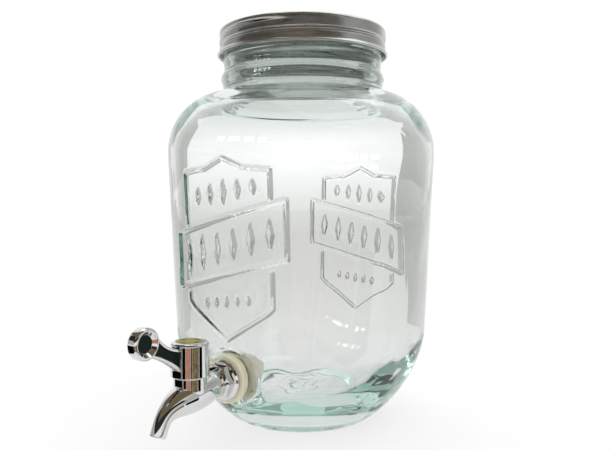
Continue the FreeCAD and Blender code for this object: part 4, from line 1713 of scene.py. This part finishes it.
    def build(self) -> None:
        """Make the handle's pieces and dress its disc and screw."""
        self.cap()
        self.finger_ring()
        self.lever()
        dress_node("handle_badge", BADGE_LACQUER)
        dress_node("handle_screw", FASTENER_STEEL)


@dataclass
class Studio:
    """Pale floor, soft light with darker sides, and the camera at the photograph's angle.

    Cards of the set are placed in metres, as rightwards, towards the camera and up.
    """

    focal_px: float = 688.5
    image_px: float = 610.0
    sensor_mm: float = 36.0
    clip: Point = (0.01, 50.0)
    azimuth_deg: float = 34.0
    distance: float = 472.8
    height: float = 146.6
    pitch_deg: float = 2.12
    right_shift: float = 1.64
    bounces: int = 40
    floor_half: float = 9000.0
    floor_steps: int = 96
    sky_strength: float = 1.06
    side_edge: Point = (0.5, 0.9)
    side_grey: str = "#BABAB8"
    sun_strength: float = 0.8
    sun_width_deg: float = 70.0
    sun_tilt_deg: Point = (-12.0, 10.0)
    lamp_aim: Spot = (0.0, 0.0, 0.12)
    panes: int = 4
    pane_pitch: float = 0.27
    pane_start: float = 1.1
    pane_row: Spot = (-1.02, -1.62, 0.66)
    pane_way: Point = (0.8, 0.6)
    pane_size: Point = (0.17, 0.2)
    pane_watts: float = 1.5
    tap_spot: Point = (-0.0624, 0.0925)
    wedge_reach: Point = (0.13, 0.9)
    card_lift: float = 0.001
    foot: float = 0.42
    eaves: float = 0.95
    roof: float = 1.5
    edge_near: Point = (0.105, 0.1)
    edge_far: Point = (1.17, 1.12)
    edge_width: Point = (1.2, 4.0)
    edge_depth: float = -5.0
    edge_height: float = 3.0

    def light_paths(self) -> None:
        """Let light bounce along inside thick glass until it leaves, or the heel turns black."""
        paths = bpy.context.scene.cycles
        paths.max_bounces = self.bounces
        paths.glossy_bounces = self.bounces
        paths.transmission_bounces = self.bounces

    def camera(self) -> None:
        """Place the camera."""
        data = bpy.data.cameras.new("studio_camera")
        data.sensor_fit = "HORIZONTAL"
        data.sensor_width = self.sensor_mm
        data.lens = self.focal_px / self.image_px * self.sensor_mm
        data.clip_start, data.clip_end = self.clip
        made = add_object("studio_camera", data)
        turn = math.radians(self.azimuth_deg)
        back = Vector((math.sin(turn), -math.cos(turn), 0))
        right = Vector((math.cos(turn), math.sin(turn), 0))
        spot = back * self.distance + right * self.right_shift + Vector((0, 0, self.height))
        made.location = spot * MM
        made.rotation_euler = (math.radians(90 - self.pitch_deg), 0, turn)
        bpy.context.scene.camera = made

    def floor(self) -> None:
        """Lay the floor."""
        bm = bmesh.new()
        bmesh.ops.create_circle(bm, cap_ends=True, segments=self.floor_steps, radius=self.floor_half)
        bmesh.ops.scale(bm, vec=(MM, MM, MM), verts=bm.verts)
        made = add_mesh(bm, "studio_floor", TABLE_ACRYLIC)

    def sky(self) -> None:
        """Wrap the set in white, a little greyer to the two sides of the photograph's view."""
        world = bpy.data.worlds.new("studio_world")
        bpy.context.scene.world = world
        world.use_nodes = True
        tree = world.node_tree
        tree.nodes.clear()
        way = add_node(tree, "ShaderNodeTexCoord", {}, {}).outputs["Generated"]
        turn = math.radians(self.azimuth_deg)
        start, full = self.side_edge
        colour: Any = linear("#FFFFFF")
        for side in (-1, 1):
            towards = {0: way, 1: (side * math.cos(turn), side * math.sin(turn), 0.0)}
            near = add_node(tree, "ShaderNodeVectorMath", {"operation": "DOT_PRODUCT"}, towards)
            limits = {"Value": near.outputs["Value"], "From Min": start, "From Max": full}
            share = add_node(tree, "ShaderNodeMapRange", {"interpolation_type": "SMOOTHSTEP"}, limits)
            mix = {MIX_SHARE: share.outputs[0], MIX_FIRST: colour, MIX_SECOND: linear(self.side_grey)}
            colour = add_node(tree, "ShaderNodeMix", {"data_type": "RGBA"}, mix).outputs[MIX_OUT]
        glow = {"Color": colour, "Strength": self.sky_strength}
        light = add_node(tree, "ShaderNodeBackground", {}, glow)
        add_node(tree, "ShaderNodeOutputWorld", {}, {"Surface": light.outputs[0]})

    def lamp(self, name: str, spot: Spot) -> None:
        """Hang a soft box that faces the jar and shows in its glass but not in polished metal.

        Args:
            name: the lamp's name.
            spot: where it hangs, in metres.
        """
        data = bpy.data.lights.new(name, "AREA")
        data.shape = "RECTANGLE"
        data.size, data.size_y = self.pane_size
        data.energy = self.pane_watts
        made = add_object(name, data)
        made.location = spot
        made.rotation_euler = (Vector(self.lamp_aim) - Vector(spot)).to_track_quat("-Z", "Y").to_euler()
        made.visible_glossy = False

    def window_panes(self) -> None:
        """Hang a row of bright panes to the left, which show as small highlights on the shoulder."""
        x, y, z = self.pane_row
        for i in range(self.panes):
            along = (i - self.pane_start) * self.pane_pitch
            spot = (x + along * self.pane_way[0], y - along * self.pane_way[1], z)
            self.lamp(f"window_pane_{i + 1}", spot)

    def flag(self, name: str, sheet: Finish, corners: Sequence[Spot], shown_by: str = "glossy") -> None:
        """Set a card that only reflections show, or only what is seen through glass.

        Args:
            name: the card's name.
            sheet: its surface.
            corners: its four corners.
            shown_by: the kind of ray that meets it, glossy or transmission.
        """
        turn = math.radians(self.azimuth_deg)
        axes = Matrix(((math.cos(turn), math.sin(turn), 0), (math.sin(turn), -math.cos(turn), 0), (0, 0, 1)))
        bm = bmesh.new()
        face = bm.faces.new([bm.verts.new(Vector(corner) @ axes) for corner in corners])
        bmesh.ops.recalc_face_normals(bm, faces=[face])
        made = add_mesh(bm, name, sheet)
        for ray in ("camera", "diffuse", "glossy", "transmission", "shadow", "volume_scatter"):
            setattr(made, f"visible_{ray}", ray == shown_by)

    def wedge(self, name: str, felt: Finish, first_deg: float, last_deg: float) -> None:
        """Lay a card on the floor before the tap, between two directions from it.

        Args:
            name: the card's name.
            felt: its surface.
            first_deg: first direction, from the camera's, positive to the right.
            last_deg: last direction.
        """
        right, near = self.tap_spot
        inner, outer = self.wedge_reach
        corners = []
        for degrees, reach in ((first_deg, inner), (first_deg, outer), (last_deg, outer), (last_deg, inner)):
            way = math.radians(degrees)
            corners.append((right + reach * math.sin(way), near + reach * math.cos(way), self.card_lift))
        self.flag(name, felt, corners)

    def floor_flags(self) -> None:
        """Lay felt round the tap, for its chrome to mirror."""
        wedges = (("far_left", FELT_BLACK, -112, -42), ("left", FELT_BROWN, -41, -36),
                  ("mid_left", FELT_BLACK, -35, -16), ("rose", FELT_ROSE, -15, 13),
                  ("mid", FELT_BLACK, 14, 21), ("brown", FELT_BROWN, 22, 62),
                  ("right", FELT_BLACK, 64, 84))
        for name, felt, first, last in wedges:
            self.wedge(f"flag_floor_{name}", felt, first, last)

    def wall_flags(self) -> None:
        """Hang felt on three sides and overhead, for lid and chrome to mirror as they would a room."""
        foot, eaves, roof = self.foot, self.eaves, self.roof
        flags = {
            "behind_camera": (FELT_GREY, (-1.2, 1.3, foot), (0.6, 1.3, foot),
                              (0.6, 1.3, eaves), (-1.2, 1.3, eaves)),
            "right": (FELT_GREY, (0.6, 1.3, foot), (1.3, 0.8, foot), (1.1, 0.943, 0.8), (0.6, 1.3, eaves)),
            "left": (FELT_GREY, (-1.2, -0.1, foot), (-1.2, 1.3, foot),
                     (-1.2, 1.3, eaves), (-1.2, -0.1, eaves)),
            "roof_left": (FELT_TAUPE, (-1.2, -0.5, eaves), (-1.2, 1.3, eaves),
                          (-0.45, 0.8, roof), (-0.45, -0.5, roof)),
            "roof_back": (FELT_BROWN, (-1.2, 1.3, eaves), (0.6, 1.3, eaves),
                          (0.45, 0.8, roof), (-0.45, 0.8, roof)),
            "roof_right": (FELT_BROWN, (0.6, 1.3, eaves), (1.3, 0.3, eaves),
                           (0.45, 0.1, roof), (0.45, 0.8, roof)),
            "roof": (FELT_BROWN, (-0.45, 0.8, roof), (0.45, 0.8, roof),
                     (0.45, 0.1, roof), (-0.45, 0.1, roof)),
        }
        for name, (felt, *corners) in flags.items():
            self.flag(f"flag_{name}", felt, corners)

    def edge_cards(self) -> None:
        """Stand grey cards just outside the picture's straight view of the jar, to draw its edges."""
        lift, depth, top = self.card_lift, self.edge_depth, self.edge_height
        sides = zip(("left", "right"), (-1, 1), self.edge_near, self.edge_far)
        for name, side, near, far in sides:
            narrow, wide = (side * width for width in self.edge_width)
            far_in, far_out = (side * far, depth, lift), (wide, depth, lift)
            floor = [(side * near, 0, lift), (narrow, 0, lift), far_out, far_in]
            back = [far_in, far_out, (wide, depth, top), (side * far, depth, top)]
            self.flag(f"card_floor_{name}", CARD_GREY, floor, "transmission")
            self.flag(f"card_back_{name}", CARD_GREY, back, "transmission")

    def ceiling_light(self) -> None:
        """Light the floor evenly from above, with soft shadows."""
        data = bpy.data.lights.new("ceiling_light", "SUN")
        data.energy = self.sun_strength
        data.angle = math.radians(self.sun_width_deg)
        made = add_object("ceiling_light", data)
        made.rotation_euler = (*(math.radians(tilt) for tilt in self.sun_tilt_deg), 0)

    def build(self) -> None:
        """Set up the whole studio."""
        bpy.context.scene.view_settings.view_transform = "Standard"
        self.light_paths()
        self.camera()
        self.floor()
        self.sky()
        self.window_panes()
        self.floor_flags()
        self.wall_flags()
        self.edge_cards()
        self.ceiling_light()


def main() -> None:
    """Build the object's classes in order, then the studio."""
    logging.basicConfig(level=logging.INFO, format="%(message)s")
    makers: list[Any] = [GlassJar(), ScrewLid(), TapSeat(), TapCasting(), TapHandle(), Studio()]
    for maker in makers:
        maker.build()
        LOG.info("%s done", type(maker).__name__)


if __name__ == "__main__":
    main()
